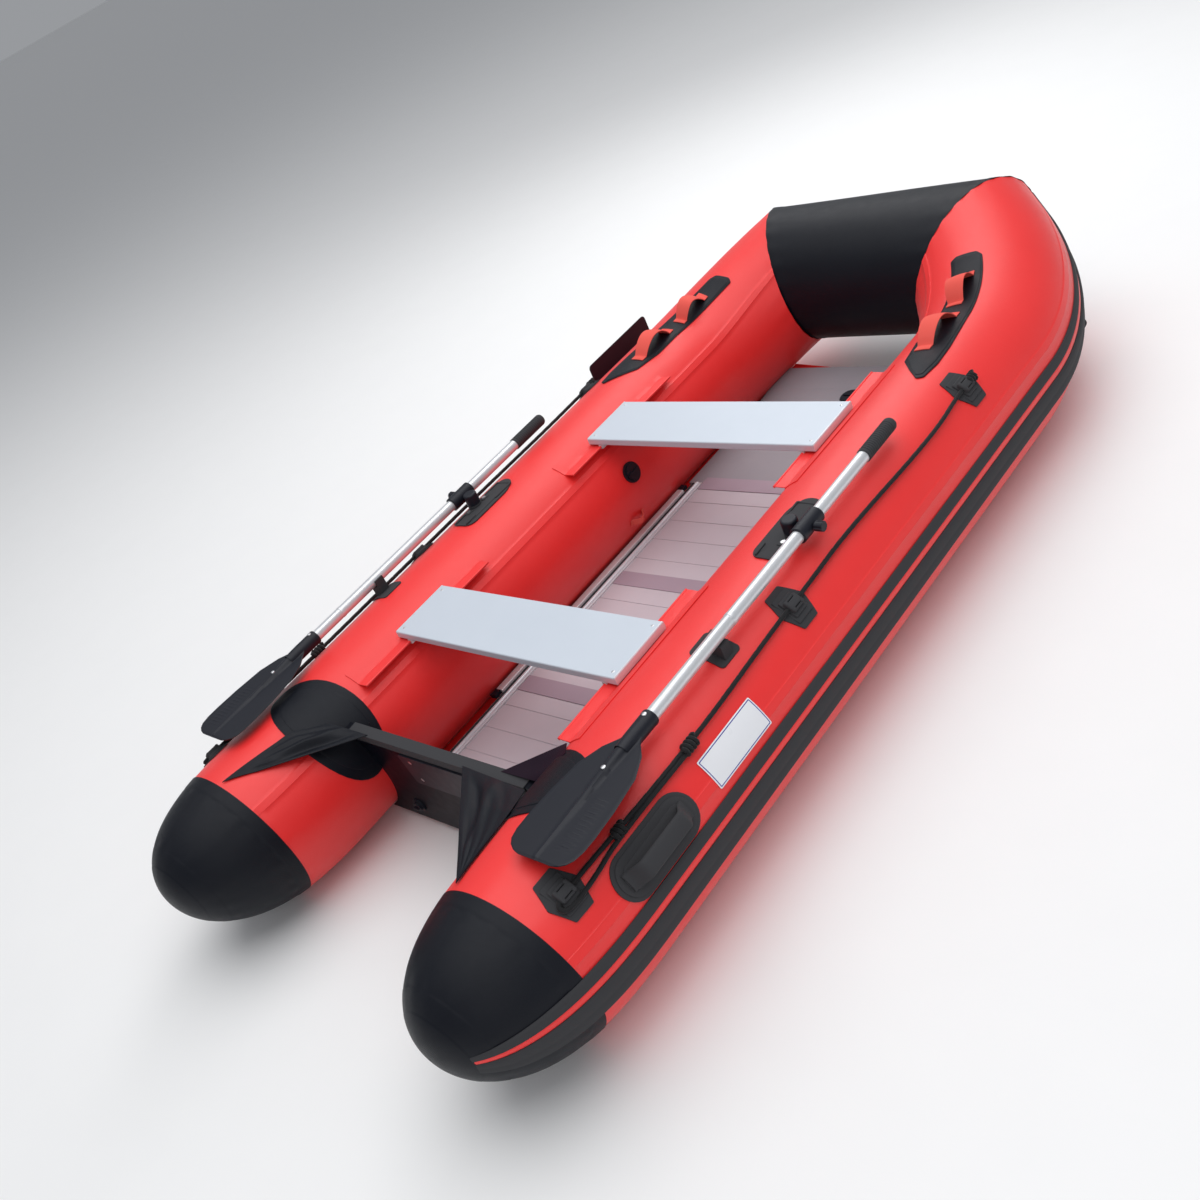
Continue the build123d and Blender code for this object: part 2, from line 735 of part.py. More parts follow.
shaft_start_y = socket_end_y - socket_length + 4
shaft_end_y = grip_end_y - 6
with BuildPart() as shaft:
    add(oar_round(shaft_start_y, shaft_end_y, shaft_radius))
    add(oar_round(shaft_start_y, shaft_end_y, shaft_radius - shaft_wall), mode=Mode.SUBTRACT)
    with Locations((oar_x, socket_end_y - 14, oar_height + shaft_radius)):
        Cylinder(button_radius + running_gap, 10, mode=Mode.SUBTRACT)
    with Locations((oar_x, pivot_y, oar_height)):
        Cylinder(stud_radius + running_gap, 4 * shaft_radius, rotation=(0, 90, 0), mode=Mode.SUBTRACT)
write_both(shaft.part, "oar_shaft")

with BuildPart() as grip:
    add(oar_round(grip_start_y, grip_end_y, grip_radius))
    fillet(grip.edges(), 3)
    add(oar_round(grip_start_y - 1, grip_end_y - 5, shaft_radius + gap), mode=Mode.SUBTRACT)
write_both(grip.part, "oar_grip")

with BuildPart() as collar:
    add(oar_round(pivot_y - collar_length / 2, pivot_y + collar_length / 2, collar_radius))
    chamfer(collar.edges(), 2)
    add(oar_round(pivot_y - collar_length, pivot_y + collar_length, shaft_radius + gap), mode=Mode.SUBTRACT)
    with Locations((oar_x, pivot_y, oar_height)):
        Cylinder(stud_radius + running_gap, 4 * shaft_radius, rotation=(0, 90, 0), mode=Mode.SUBTRACT)
write_both(collar.part, "oar_collar")

with BuildPart() as button:
    with Locations((oar_x, socket_end_y - 14, oar_height + shaft_radius - 4)):
        Cylinder(button_radius, 20)
    fillet(button.edges().sort_by(Axis.Z)[-1], 2)
write_both(button.part, "oar_button")

# ---------------------------------------------------------------- oarlocks
print("oarlocks")
with BuildSketch(tube_plane(pivot_y + base_ahead, base_angle)) as base_outline:
    RectangleRounded(base_length, base_width, base_corner)
ear_x = pivot_x - ear_inboard
ear_top = oar_height - collar_radius - dip_room - bolt_head
with BuildPart() as base:
    add(patch(base_outline.sketch, 40))
    with Locations((pivot_x, pivot_y, boss_top - 15)):
        Cylinder(boss_radius, 30)
    for y in (-1, 1):
        with Locations((ear_x, pivot_y + y * ear_spread, ear_top - ear_depth / 2)):
            Box(ear_width, ear_length, ear_depth)
    add(cleared_tube, mode=Mode.SUBTRACT)
    with Locations((pivot_x, pivot_y, boss_top - 4)):
        Cylinder(pin_radius + running_gap, 12.4, mode=Mode.SUBTRACT)
write_pair(base.part, "oarlock_bases")

with BuildPart() as bolts:
    for y in (-1, 1):
        with Locations((ear_x, pivot_y + y * ear_spread, ear_top + bolt_head / 2)):
            Cylinder(bolt_radius, bolt_head)
write_pair(bolts.part, "oarlock_bolts")

with BuildPart() as rowlock:
    with Locations((pivot_x, pivot_y, boss_top + running_gap + 17.5)):
        Cylinder(boss_radius, 35)
    fillet(rowlock.edges().sort_by(Axis.Z)[-1], 6)
    with Locations((pivot_x, pivot_y, boss_top - 4.5 + running_gap)):
        Cylinder(pin_radius, 10)
    stud_end = oar_x + collar_radius + knob_length
    with Locations(((pivot_x + stud_end) / 2, pivot_y, oar_height)):
        Cylinder(stud_radius, stud_end - pivot_x, rotation=(0, 90, 0))
write_both(rowlock.part, "rowlock")

with BuildPart() as knob:
    with Locations((oar_x + collar_radius + 2 + knob_length / 2, pivot_y, oar_height)):
        Cylinder(knob_radius, knob_length, rotation=(0, 90, 0))
    fillet(knob.edges(), 2)
    with Locations((oar_x + collar_radius + knob_length / 2, pivot_y, oar_height)):
        Cylinder(stud_radius + running_gap, knob_length, rotation=(0, 90, 0), mode=Mode.SUBTRACT)
    lobe_spots = PolarLocations(knob_radius + 2, 5)
    with BuildSketch(Plane(origin=(oar_x + collar_radius + 2, pivot_y, oar_height), z_dir=(1, 0, 0))):
        with lobe_spots:
            Circle(4)
    extrude(amount=knob_length, mode=Mode.SUBTRACT)
write_both(knob.part, "rowlock_knob")

with BuildSketch(tube_plane(clip_y, 18)) as clip_outline:
    RectangleRounded(73, 92, 10)
shaft_low = oar_height - shaft_radius - running_gap
clip_low = 415.0
with BuildPart() as clip:
    add(patch(clip_outline.sketch, 30))
    with Locations((oar_x - 3, clip_y, (clip_low + shaft_low) / 2)):
        Box(38, clip_length, shaft_low - clip_low)
    with Locations((oar_x - shaft_radius - running_gap - 2.5, clip_y, (clip_low + oar_height + 6) / 2)):
        Box(5, clip_length, oar_height + 6 - clip_low)
    add(cleared_tube, mode=Mode.SUBTRACT)
write_pair(clip.part, "oar_clips")

# ---------------------------------------------------------------- rope and its patches
print("rope")


def rope_patch(y):
    """A six-sided patch with a moulded lug, drilled along the boat for the rope."""
    corners = [(-52, -30), (-30, -62), (30, -62), (52, -30), (52, 30), (30, 62), (-30, 62), (-52, 30)]
    with BuildSketch(tube_plane(y, rope_patch_angle)) as hexagon:
        Polygon(*corners, align=None)
    pad = patch(hexagon.sketch, 40)
    centre = tube_plane(y, rope_patch_angle, rope_lift)
    across = Plane(origin=centre.origin, x_dir=centre.y_dir, z_dir=(0, 1, 0))
    with BuildPart() as piece:
        add(pad)
        with BuildSketch(across):
            Rectangle(30, 24)
        extrude(amount=17, both=True)
        add(cleared_tube, mode=Mode.SUBTRACT)
        with BuildSketch(across):
            Circle(rope_hole_radius)
        extrude(amount=60, both=True, mode=Mode.SUBTRACT)
    return piece.part


patches = [rope_patch(y) for y in rope_patch_places]
starboard_patches = [solid for piece in patches for solid in piece.solids()]
port_patches = [solid for piece in patches for solid in port_of(piece).solids()]
write(Compound(children=[*starboard_patches, *port_patches]), "rope_patches")

rope_sheet = tube_plane(0, rope_patch_angle, rope_lift)
rope_front = rope_patch_places[-1] + 34
rope_back = rope_patch_places[0] - 17 - rope_turn - 2
tail_gap = 2 * rope_radius + 1
rope_turn_width = 2 * rope_turn + 2
rope_route = [
    (rope_front, 0),
    (rope_back, 0),
    (rope_back, -rope_turn_width),
    (-1124, -rope_turn_width),
    (-1024, -tail_gap),
    (rope_tail_end, -tail_gap),
]
rope_bends = [rope_turn, rope_turn, 90, 110]
with BuildPart() as rope:
    with BuildLine(rope_sheet) as rope_line:
        FilletPolyline(*rope_route, radius=rope_bends)
    with BuildSketch(Plane(origin=rope_line.line @ 0, z_dir=rope_line.line % 0)):
        Circle(rope_radius)
    sweep(path=rope_line.wires()[0])
rope_length = rope_line.wires()[0].length
print("rope length", rope_length, "bends", rope_bends)
print("rope volume", rope.part.volume, "section x length", rope_length * pi * rope_radius**2)
write_both(rope.part, "grab_rope")

# ---------------------------------------------------------------- handles
print("handles")
with BuildSketch(tube_plane(stern_handle_y, stern_handle_angle)) as handle_outline:
    SlotOverall(234, 100)
handle_plane = tube_plane(stern_handle_y, stern_handle_angle, 3)
with BuildPart() as handle:
    add(patch(handle_outline.sketch, 40))
    with BuildSketch(Plane(origin=handle_plane.origin, x_dir=(0, 1, 0), z_dir=handle_plane.y_dir)):
        with BuildLine():
            Polyline((-82, -14), (-60, -38), (60, -38), (82, -14), (82, 6), (-82, 6), close=True)
        make_face()
        with Locations((0, -10)):
            RectangleRounded(104, 30, 6, mode=Mode.SUBTRACT)
    extrude(amount=12, both=True)
    add(cleared_tube, mode=Mode.SUBTRACT)
write_pair(handle.part.solids().sort_by(SortBy.VOLUME)[-1], "stern_handles")


def plan_point(distance, offset):
    """Plan position at a distance along the tube's axis past the bend start, offset outboard."""
    if distance <= 0:
        return half_spacing + offset, bend_start + distance
    a = distance / bend_radius
    reach = bend_radius + offset
    return half_spacing - bend_radius + reach * cos(a), bend_start + reach * sin(a)


patch_edge = ((-303, -8), (-250, 30), (-100, 32), (20, 30), (150, 26), (260, 6), (295, -24), (265, -60),
              (150, -80), (0, -84), (-150, -80), (-262, -50))
with BuildSketch(Plane.XY.offset(tube_radius * 2)) as handle_patch_outline:
    with BuildLine():
        Spline(*[plan_point(*p) for p in patch_edge], periodic=True)
    make_face()
write_pair(patch(handle_patch_outline.sketch), "bow_handle_patches")

with BuildPart() as straps:
    for distance, angle, extra in strap_places:
        seat = surface_plane(distance, angle, patch_thickness + 2 * gap + extra + strap_thickness / 2)
        half = 90.0
        with BuildSketch(Plane(origin=seat.origin, x_dir=seat.x_dir, z_dir=seat.y_dir * -1)):
            with BuildLine():
                Line((-half, 0), (-half + strap_foot, 0))
                Spline((-half + strap_foot, 0), (0, strap_rise), (half - strap_foot, 0),
                       tangents=((1, 0.6), (1, -0.6)))
                Line((half - strap_foot, 0), (half, 0))
            trace(line_width=strap_thickness)
        extrude(amount=strap_width / 2, both=True)
    add(boot_clear_tube, mode=Mode.SUBTRACT)
write_pair(straps.part, "bow_handle_straps")

# ---------------------------------------------------------------- valves
print("valves")


def valve_body(seat):
    """A valve seat: flange, shank through the skin and an open bore."""
    with BuildPart() as body:
        with BuildSketch(seat):
            Circle(valve_radius)
        extrude(amount=valve_flange)
        with BuildSketch(seat):
            Circle(valve_shank)
        extrude(amount=-valve_depth)
        with BuildSketch(seat.offset(valve_flange)):
            Circle(valve_bore)
        extrude(amount=-valve_flange - valve_depth + 3, mode=Mode.SUBTRACT)
        with BuildSketch(seat.offset(-valve_depth - 1)):
            Circle(stem_radius + running_gap)
        extrude(amount=6, mode=Mode.SUBTRACT)
    return body.part


def valve_cap(seat):
    """A screw cap with a grip bar, its plug inside the bore."""
    with BuildPart() as piece:
        with BuildSketch(seat.offset(valve_flange + running_gap)):
            Circle(cap_radius)
        extrude(amount=5)
        with BuildSketch(seat.offset(valve_flange + running_gap + 5)):
            RectangleRounded(2 * cap_radius - 8, 7, 3)
        extrude(amount=5)
        with BuildSketch(seat.offset(valve_flange + running_gap)):
            Circle(valve_bore - running_gap)
            Circle(valve_bore - 3, mode=Mode.SUBTRACT)
        extrude(amount=-8)
    return piece.part


valve_seat = tube_plane(valve_y, valve_angle, gap)
with BuildPart() as stem:
    with BuildSketch(valve_seat.offset(-valve_depth - stem_travel)):
        Circle(stem_radius)
    extrude(amount=valve_depth + stem_travel - 2)
    with BuildSketch(valve_seat.offset(-8)):
        Circle(stem_radius + 3)
    extrude(amount=3)
side_valve = valve_body(valve_seat)
floor_valve = valve_body(floor_seat)
bodies = Compound(children=[*side_valve.solids(), *port_of(side_valve).solids(), *floor_valve.solids()])
write(bodies, "valve_bodies")
write_both(valve_cap(valve_seat), "valve_cap")
write(valve_cap(floor_seat), "valve_cap_floor")
write_both(stem.part, "valve_stem")

# ---------------------------------------------------------------- panels and tow eyes
print("panels")
with BuildSketch(tube_plane(name_panel_y, 60)) as panel_outline:
    RectangleRounded(name_panel_length, name_panel_width, 6)
write_pair(patch(panel_outline.sketch, 30), "name_panels")

with BuildPart() as plate:
    with Locations((plate_x, plate_y, plate_top - plate_height / 2)):
        Box(3, plate_length, plate_height)
    fillet(plate.edges().filter_by(Axis.X), 15)
    for y in (plate_y - 110, plate_y - 20):
        with Locations((plate_x + 22, y, plate_top - plate_height + 15)):
            Box(44, 24, 18)
    add(port_of(cleared_tube), mode=Mode.SUBTRACT)
write(plate.part.solids().sort_by(SortBy.VOLUME)[-1], "number_plate")

eye_seat = surface_plane(300, 118)
with BuildSketch(eye_seat) as eye_outline:
    Circle(42)
with BuildPart() as eye:
    add(patch(eye_outline.sketch, 40))
    with BuildSketch(Plane(origin=eye_seat.origin, x_dir=eye_seat.x_dir, z_dir=eye_seat.y_dir)):
        with Locations((0, -6)):
            Circle(25)
            Circle(15, mode=Mode.SUBTRACT)
    extrude(amount=5, both=True)
    add(cleared_tube, mode=Mode.SUBTRACT)
write_pair(eye.part.solids().sort_by(SortBy.VOLUME)[-1], "tow_eyes")
print("done", len(os.listdir("parts")))
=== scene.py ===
"""Inflatable dinghy with an aluminium floor, two sliding benches and two oars.

Metres, +Y to the bow, +X to starboard, +Z up. Soft goods, ropes and moulded pieces are built here
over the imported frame, and the metal and hard pieces of the frame are dressed with finishes.
"""

import fnmatch
import logging
import math
from collections.abc import Callable, Sequence
from dataclasses import dataclass, field
from enum import Enum

import bmesh
import bpy
from mathutils import Matrix, Vector


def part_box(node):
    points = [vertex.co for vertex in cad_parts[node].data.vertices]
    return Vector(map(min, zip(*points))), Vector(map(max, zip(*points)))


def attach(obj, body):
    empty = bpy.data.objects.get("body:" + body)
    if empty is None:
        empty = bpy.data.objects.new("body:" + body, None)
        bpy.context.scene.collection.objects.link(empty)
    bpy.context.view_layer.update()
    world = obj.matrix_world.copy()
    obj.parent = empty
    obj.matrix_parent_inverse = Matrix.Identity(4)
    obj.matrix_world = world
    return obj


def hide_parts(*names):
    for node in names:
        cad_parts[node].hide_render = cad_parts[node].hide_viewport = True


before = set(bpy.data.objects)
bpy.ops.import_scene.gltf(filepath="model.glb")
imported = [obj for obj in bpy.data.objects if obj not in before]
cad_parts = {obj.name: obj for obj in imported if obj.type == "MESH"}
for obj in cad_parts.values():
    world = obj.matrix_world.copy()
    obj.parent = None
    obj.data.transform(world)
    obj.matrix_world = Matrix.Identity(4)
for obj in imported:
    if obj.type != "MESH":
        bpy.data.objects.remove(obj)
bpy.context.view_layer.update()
LOG = logging.getLogger("dinghy")
SIDES = {"starboard": 1, "port": -1}
TAU = 2 * math.pi
MM = 0.001
FORWARD, UP = (0, 1, 0), (0, 0, 1)
BMesh = bmesh.types.BMesh
Point = tuple[float, float, float]
Outline = Sequence[tuple[float, float]]


# ---------------------------------------------------------------- finishes
MIX_FACTOR, MIX_FIRST, MIX_SECOND, MIX_RESULT = 0, 6, 7, 2
MOTTLE_SCALE, SCUFF_SCALE, ROUGH_SPREAD, BUMP_STRENGTH = 6.0, 38.0, 0.07, 0.6
SHEEN_ROUGHNESS, COAT_ROUGHNESS = 0.4, 0.25
WAVE_RATE, WAVE_WOBBLE, BRUSH_STRETCH = 0.31416, 0.4, 0.02


class Pattern(Enum):
    """The fine relief a finish carries."""

    CLOTH = "cloth"
    GRAIN = "grain"
    BRUSHED_X = "brushed along x"
    BRUSHED_Y = "brushed along y"
    WEBBING = "webbing"
    BRAID = "braid"


@dataclass(frozen=True)
class Finish:
    """One surface finish: its colours, gloss and fine relief.

    Attributes:
        name: material name.
        base: linear colour.
        tint: linear colour of the mottling laid over the base.
        rough: middle roughness.
        metallic: 0 for paint, cloth and plastic, 1 for bare metal.
        pattern: the fine relief.
        pitch: size of the relief, metres.
        relief: height of the relief, metres.
        sheen: weight of the soft cloth sheen.
        coat: weight of the clear coat.
        gloss: strength of the surface reflection.
    """

    name: str
    base: tuple[float, float, float]
    tint: tuple[float, float, float]
    rough: float
    metallic: float = 0.0
    pattern: Pattern = Pattern.GRAIN
    pitch: float = 0.002
    relief: float = 0.0001
    sheen: float = 0.0
    coat: float = 0.0
    gloss: float = 0.5

    def material(self) -> bpy.types.Material:
        """Build the material once and give the same one again after that.

        Returns:
            The node material.
        """
        made = bpy.data.materials.get(self.name)
        if made:
            return made
        made = bpy.data.materials.new(self.name)
        made.use_nodes = True
        tree = made.node_tree
        shader = tree.nodes["Principled BSDF"]
        for socket, value in (
            ("Metallic", self.metallic), ("Specular IOR Level", self.gloss),
            ("Sheen Weight", self.sheen), ("Sheen Roughness", SHEEN_ROUGHNESS),
            ("Coat Weight", self.coat), ("Coat Roughness", COAT_ROUGHNESS),
        ):
            shader.inputs[socket].default_value = value
        place = tree.nodes.new("ShaderNodeTexCoord").outputs["Object"]
        mottling = self._noise(tree, place, MOTTLE_SCALE, 5.0)
        colour = tree.nodes.new("ShaderNodeMix")
        colour.data_type = "RGBA"
        colour.inputs[MIX_FIRST].default_value = (*self.base, 1)
        colour.inputs[MIX_SECOND].default_value = (*self.tint, 1)
        tree.links.new(mottling, colour.inputs[MIX_FACTOR])
        tree.links.new(colour.outputs[MIX_RESULT], shader.inputs["Base Color"])
        scuffs = tree.nodes.new("ShaderNodeMapRange")
        scuffs.inputs["To Min"].default_value = max(0.05, self.rough - ROUGH_SPREAD)
        scuffs.inputs["To Max"].default_value = self.rough + ROUGH_SPREAD
        tree.links.new(self._noise(tree, place, SCUFF_SCALE, 4.0), scuffs.inputs["Value"])
        tree.links.new(scuffs.outputs[0], shader.inputs["Roughness"])
        bump = tree.nodes.new("ShaderNodeBump")
        bump.inputs["Distance"].default_value = self.relief
        bump.inputs["Strength"].default_value = BUMP_STRENGTH
        tree.links.new(self._relief(tree, place), bump.inputs["Height"])
        tree.links.new(bump.outputs[0], shader.inputs["Normal"])
        return made

    @staticmethod
    def _noise(
        tree: bpy.types.NodeTree, place: bpy.types.NodeSocket, scale: float, detail: float
    ) -> bpy.types.NodeSocket:
        """A noise value over the surface."""
        noise = tree.nodes.new("ShaderNodeTexNoise")
        noise.inputs["Scale"].default_value = scale
        noise.inputs["Detail"].default_value = detail
        tree.links.new(place, noise.inputs["Vector"])
        return noise.outputs["Fac"]

    def _wave(
        self, tree: bpy.types.NodeTree, place: bpy.types.NodeSocket, direction: str
    ) -> bpy.types.NodeSocket:
        """Fine parallel ridges across one direction."""
        wave = tree.nodes.new("ShaderNodeTexWave")
        wave.bands_direction = direction
        wave.inputs["Scale"].default_value = WAVE_RATE / self.pitch
        wave.inputs["Distortion"].default_value = WAVE_WOBBLE
        wave.inputs["Detail"].default_value = 1.0
        tree.links.new(place, wave.inputs["Vector"])
        return wave.outputs["Fac"]

    def _relief(self, tree: bpy.types.NodeTree, place: bpy.types.NodeSocket) -> bpy.types.NodeSocket:
        """The height pattern that the bump reads.

        Args:
            tree: the material's nodes.
            place: object coordinates.

        Returns:
            The height socket.
        """
        if self.pattern is Pattern.GRAIN:
            return self._noise(tree, place, 0.5 / self.pitch, 3.0)
        if self.pattern in (Pattern.BRUSHED_X, Pattern.BRUSHED_Y):
            stretch = tree.nodes.new("ShaderNodeMapping")
            along = self.pattern is Pattern.BRUSHED_X
            stretch.inputs["Scale"].default_value = (BRUSH_STRETCH, 1, 1) if along else (1, BRUSH_STRETCH, 1)
            tree.links.new(place, stretch.inputs["Vector"])
            return self._noise(tree, stretch.outputs[0], 1 / self.pitch, 2.0)
        add = tree.nodes.new("ShaderNodeMath")
        add.operation = "ADD"
        tree.links.new(self._wave(tree, place, "Y"), add.inputs[0])
        crossing = "DIAGONAL" if self.pattern is Pattern.BRAID else "X"
        tree.links.new(self._wave(tree, place, crossing), add.inputs[1])
        return add.outputs[0]


RED_CLOTH = Finish(
    "red_coated_cloth", (0.90, 0.027, 0.026), (0.84, 0.021, 0.020), 0.42,
    pattern=Pattern.CLOTH, pitch=0.0014, relief=0.00010, sheen=0.10, coat=0.06, gloss=0.55,
)
BLACK_CLOTH = Finish(
    "black_coated_cloth", (0.0035, 0.0045, 0.0085), (0.0055, 0.0070, 0.0120), 0.46,
    pattern=Pattern.CLOTH, pitch=0.0016, relief=0.00014, gloss=0.20,
)
BLACK_RUBBER = Finish(
    "black_rubber", (0.0030, 0.0032, 0.0048), (0.0050, 0.0054, 0.0075), 0.46,
    pitch=0.0012, relief=0.00010, gloss=0.20,
)
CHARCOAL_PLASTIC = Finish(
    "charcoal_plastic", (0.0080, 0.0090, 0.0150), (0.0110, 0.0125, 0.0200), 0.44,
    pitch=0.0009, relief=0.00008, gloss=0.30,
)
BENCH_METAL = Finish(
    "bench_aluminium", (0.60, 0.65, 0.72), (0.56, 0.61, 0.68), 0.48,
    metallic=0.15, pattern=Pattern.BRUSHED_X, pitch=0.0008, relief=0.00004, gloss=0.35,
)
TRIM_METAL = Finish(
    "bench_trim_aluminium", (0.74, 0.77, 0.81), (0.68, 0.71, 0.76), 0.34,
    metallic=0.3, pattern=Pattern.BRUSHED_Y, pitch=0.0008, relief=0.00003,
)
FLOOR_METAL = Finish(
    "floor_aluminium", (0.58, 0.52, 0.56), (0.50, 0.44, 0.48), 0.50,
    metallic=0.12, pattern=Pattern.BRUSHED_X, pitch=0.0012, relief=0.00006, gloss=0.35,
)
RAIL_METAL = Finish(
    "rail_aluminium", (0.72, 0.72, 0.74), (0.66, 0.66, 0.68), 0.36,
    metallic=0.3, pattern=Pattern.BRUSHED_Y, pitch=0.0008, relief=0.00002,
)
SHAFT_METAL = Finish(
    "shaft_aluminium", (0.76, 0.77, 0.79), (0.68, 0.69, 0.72), 0.32,
    metallic=0.5, pattern=Pattern.BRUSHED_Y, pitch=0.0006, relief=0.00003,
)
STEEL = Finish(
    "stainless_steel", (0.62, 0.62, 0.64), (0.54, 0.54, 0.56), 0.28,
    metallic=0.9, pitch=0.0008, relief=0.00002,
)
BLACK_PAINT = Finish(
    "black_painted_plywood", (0.0022, 0.0028, 0.0060), (0.0035, 0.0045, 0.0090), 0.42,
    pattern=Pattern.BRUSHED_X, pitch=0.003, relief=0.00004, gloss=0.10,
)
JOINT_METAL = Finish(
    "floor_joint_aluminium", (0.40, 0.31, 0.37), (0.34, 0.26, 0.31), 0.50,
    metallic=0.12, pattern=Pattern.BRUSHED_X, pitch=0.0012, relief=0.00004, gloss=0.35,
)
GREY_PAINT = Finish(
    "grey_painted_plywood", (0.30, 0.285, 0.31), (0.25, 0.235, 0.26), 0.5,
    pitch=0.003, relief=0.00010,
)
ROPE_FIBRE = Finish(
    "black_rope_fibre", (0.0060, 0.0060, 0.0070), (0.0140, 0.0140, 0.0160), 0.75,
    pattern=Pattern.BRAID, pitch=0.0012, relief=0.0002, sheen=0.1, gloss=0.3,
)
RED_WEBBING = Finish(
    "red_webbing", (0.66, 0.022, 0.020), (0.52, 0.012, 0.012), 0.60,
    pattern=Pattern.WEBBING, pitch=0.0022, relief=0.0004, sheen=0.2, gloss=0.35,
)
WHITE_LABEL = Finish(
    "white_label", (0.86, 0.87, 0.90), (0.80, 0.81, 0.85), 0.30,
    pitch=0.004, relief=0.00003,
)
VIOLET_INK = Finish(
    "violet_ink", (0.05, 0.05, 0.33), (0.04, 0.04, 0.27), 0.32,
    pitch=0.004, relief=0.00003,
)
PURPLE_CLOTH = Finish(
    "dark_purple_cloth", (0.012, 0.005, 0.012), (0.018, 0.008, 0.017), 0.52,
    pattern=Pattern.CLOTH, pitch=0.0014, relief=0.00012, gloss=0.10,
)

DRESSING = {
    RED_CLOTH: ("bottom_sheet", "keel_tube", "chamber_baffles"),
    CHARCOAL_PLASTIC: (
        "motor_pads", "drain_valve", "drain_plug", "valve_bodies", "valve_cap_floor", "number_plate",
        "stringer_end_caps", "rowlock_*", "oar_collar_*", "rowlock_knob_*", "valve_cap_*", "valve_stem_*",
    ),
    BLACK_RUBBER: ("transom_cap", "tow_eyes", "oar_clips"),
    BENCH_METAL: ("bench_aft", "bench_front"),
    RAIL_METAL: ("bench_rails_aft", "bench_rails_front", "floor_stringers"),
    FLOOR_METAL: ("floor_boards",),
    JOINT_METAL: ("floor_joiners",),
    GREY_PAINT: ("floor_board_bow",),
    BLACK_PAINT: ("transom_board",),
    STEEL: ("motor_pad_screws", "oarlock_bolts", "oar_button_*"),
}


# ---------------------------------------------------------------- hull surface
@dataclass(frozen=True)
class HullShape:
    """The inflated hull's surface: stern taper, straight run, bend and the rise to the bow."""

    radius: float = 0.22
    half_spacing: float = 0.529
    taper_start: float = -1.05
    cone_length: float = 0.5
    cone_power: float = 3.14
    cone_cant: float = 0.04
    bend_start: float = 0.8235
    bend_radius: float = 0.703
    bend_turn: float = math.radians(45)
    bow_rise: float = 0.125
    cone_seam: float = -1.282

    @property
    def bend_end(self) -> float:
        """Distance along the tube where the bend ends."""
        return self.bend_start + self.bend_radius * self.bend_turn

    @property
    def bow_y(self) -> float:
        """Station of the cross tube's axis."""
        return self.bend_start + self.bend_radius * math.sin(self.bend_turn)

    @property
    def corner_x(self) -> float:
        """Half the length of the cross tube's axis."""
        return self.half_spacing - self.bend_radius * (1 - math.cos(self.bend_turn))

    def station(self, s: float) -> tuple[Vector, Vector, Vector, float]:
        """The tube's section at a distance along it.

        Args:
            s: the row's y on the straight part, arc length past it.

        Returns:
            Centre, outboard direction, up direction and radius.
        """
        if s <= self.bend_start:
            share = min(1.0, max(0.0, (self.taper_start - s) / self.cone_length))
            radius = self.radius * math.sqrt(max(0.0, 1 - share**self.cone_power))
            centre = Vector((self.half_spacing, s, self.radius + self.cone_cant * share**2))
            return centre, Vector((1, 0, 0)), Vector((0, 0, 1)), radius
        run = self.bow_y - self.bend_start
        turn = min((s - self.bend_start) / self.bend_radius, self.bend_turn)
        y = self.bend_start + self.bend_radius * math.sin(turn)
        x = self.half_spacing - self.bend_radius * (1 - math.cos(turn))
        share = (y - self.bend_start) / run
        slope = 2 * self.bow_rise * share / run
        along = Vector((-math.sin(turn), math.cos(turn), slope * math.cos(turn))).normalized()
        centre = Vector((x, y, self.radius + self.bow_rise * share**2))
        centre += along * max(0.0, s - self.bend_end)
        outboard = Vector((math.cos(turn), math.sin(turn), 0))
        up = outboard.cross(along).normalized()
        return centre, outboard, up, self.radius

    def point(self, s: float, angle: float, lift: float = 0.0, side: int = 1) -> Vector:
        """A point on the tube's surface.

        Args:
            s: distance along the tube.
            angle: radians from the top, positive outboard.
            lift: distance off the surface.
            side: 1 to starboard, -1 to port.

        Returns:
            The point in the row frame.
        """
        centre, outboard, up, radius = self.station(s)
        p = centre + (outboard * math.sin(angle) + up * math.cos(angle)) * (radius + lift)
        return Vector((p.x * side, p.y, p.z))

    def bow_point(self, x: float, angle: float, lift: float = 0.0) -> Vector:
        """A point on the cross tube, angle in radians from the top, positive forward."""
        r = self.radius + lift
        middle = self.radius + self.bow_rise
        return Vector((x, self.bow_y + r * math.sin(angle), middle + r * math.cos(angle)))

    def mitre(self, side: int) -> tuple[Vector, Vector]:
        """The plane of the bow seam: a point on it and its normal towards the bow tube's middle."""
        centre, outboard, up, _ = self.station(self.bend_end)
        along = up.cross(outboard).normalized()
        normal = (along + Vector((-1, 0, 0))).normalized()
        return Vector((centre.x * side, centre.y, centre.z)), Vector((normal.x * side, normal.y, normal.z))


HULL = HullShape()


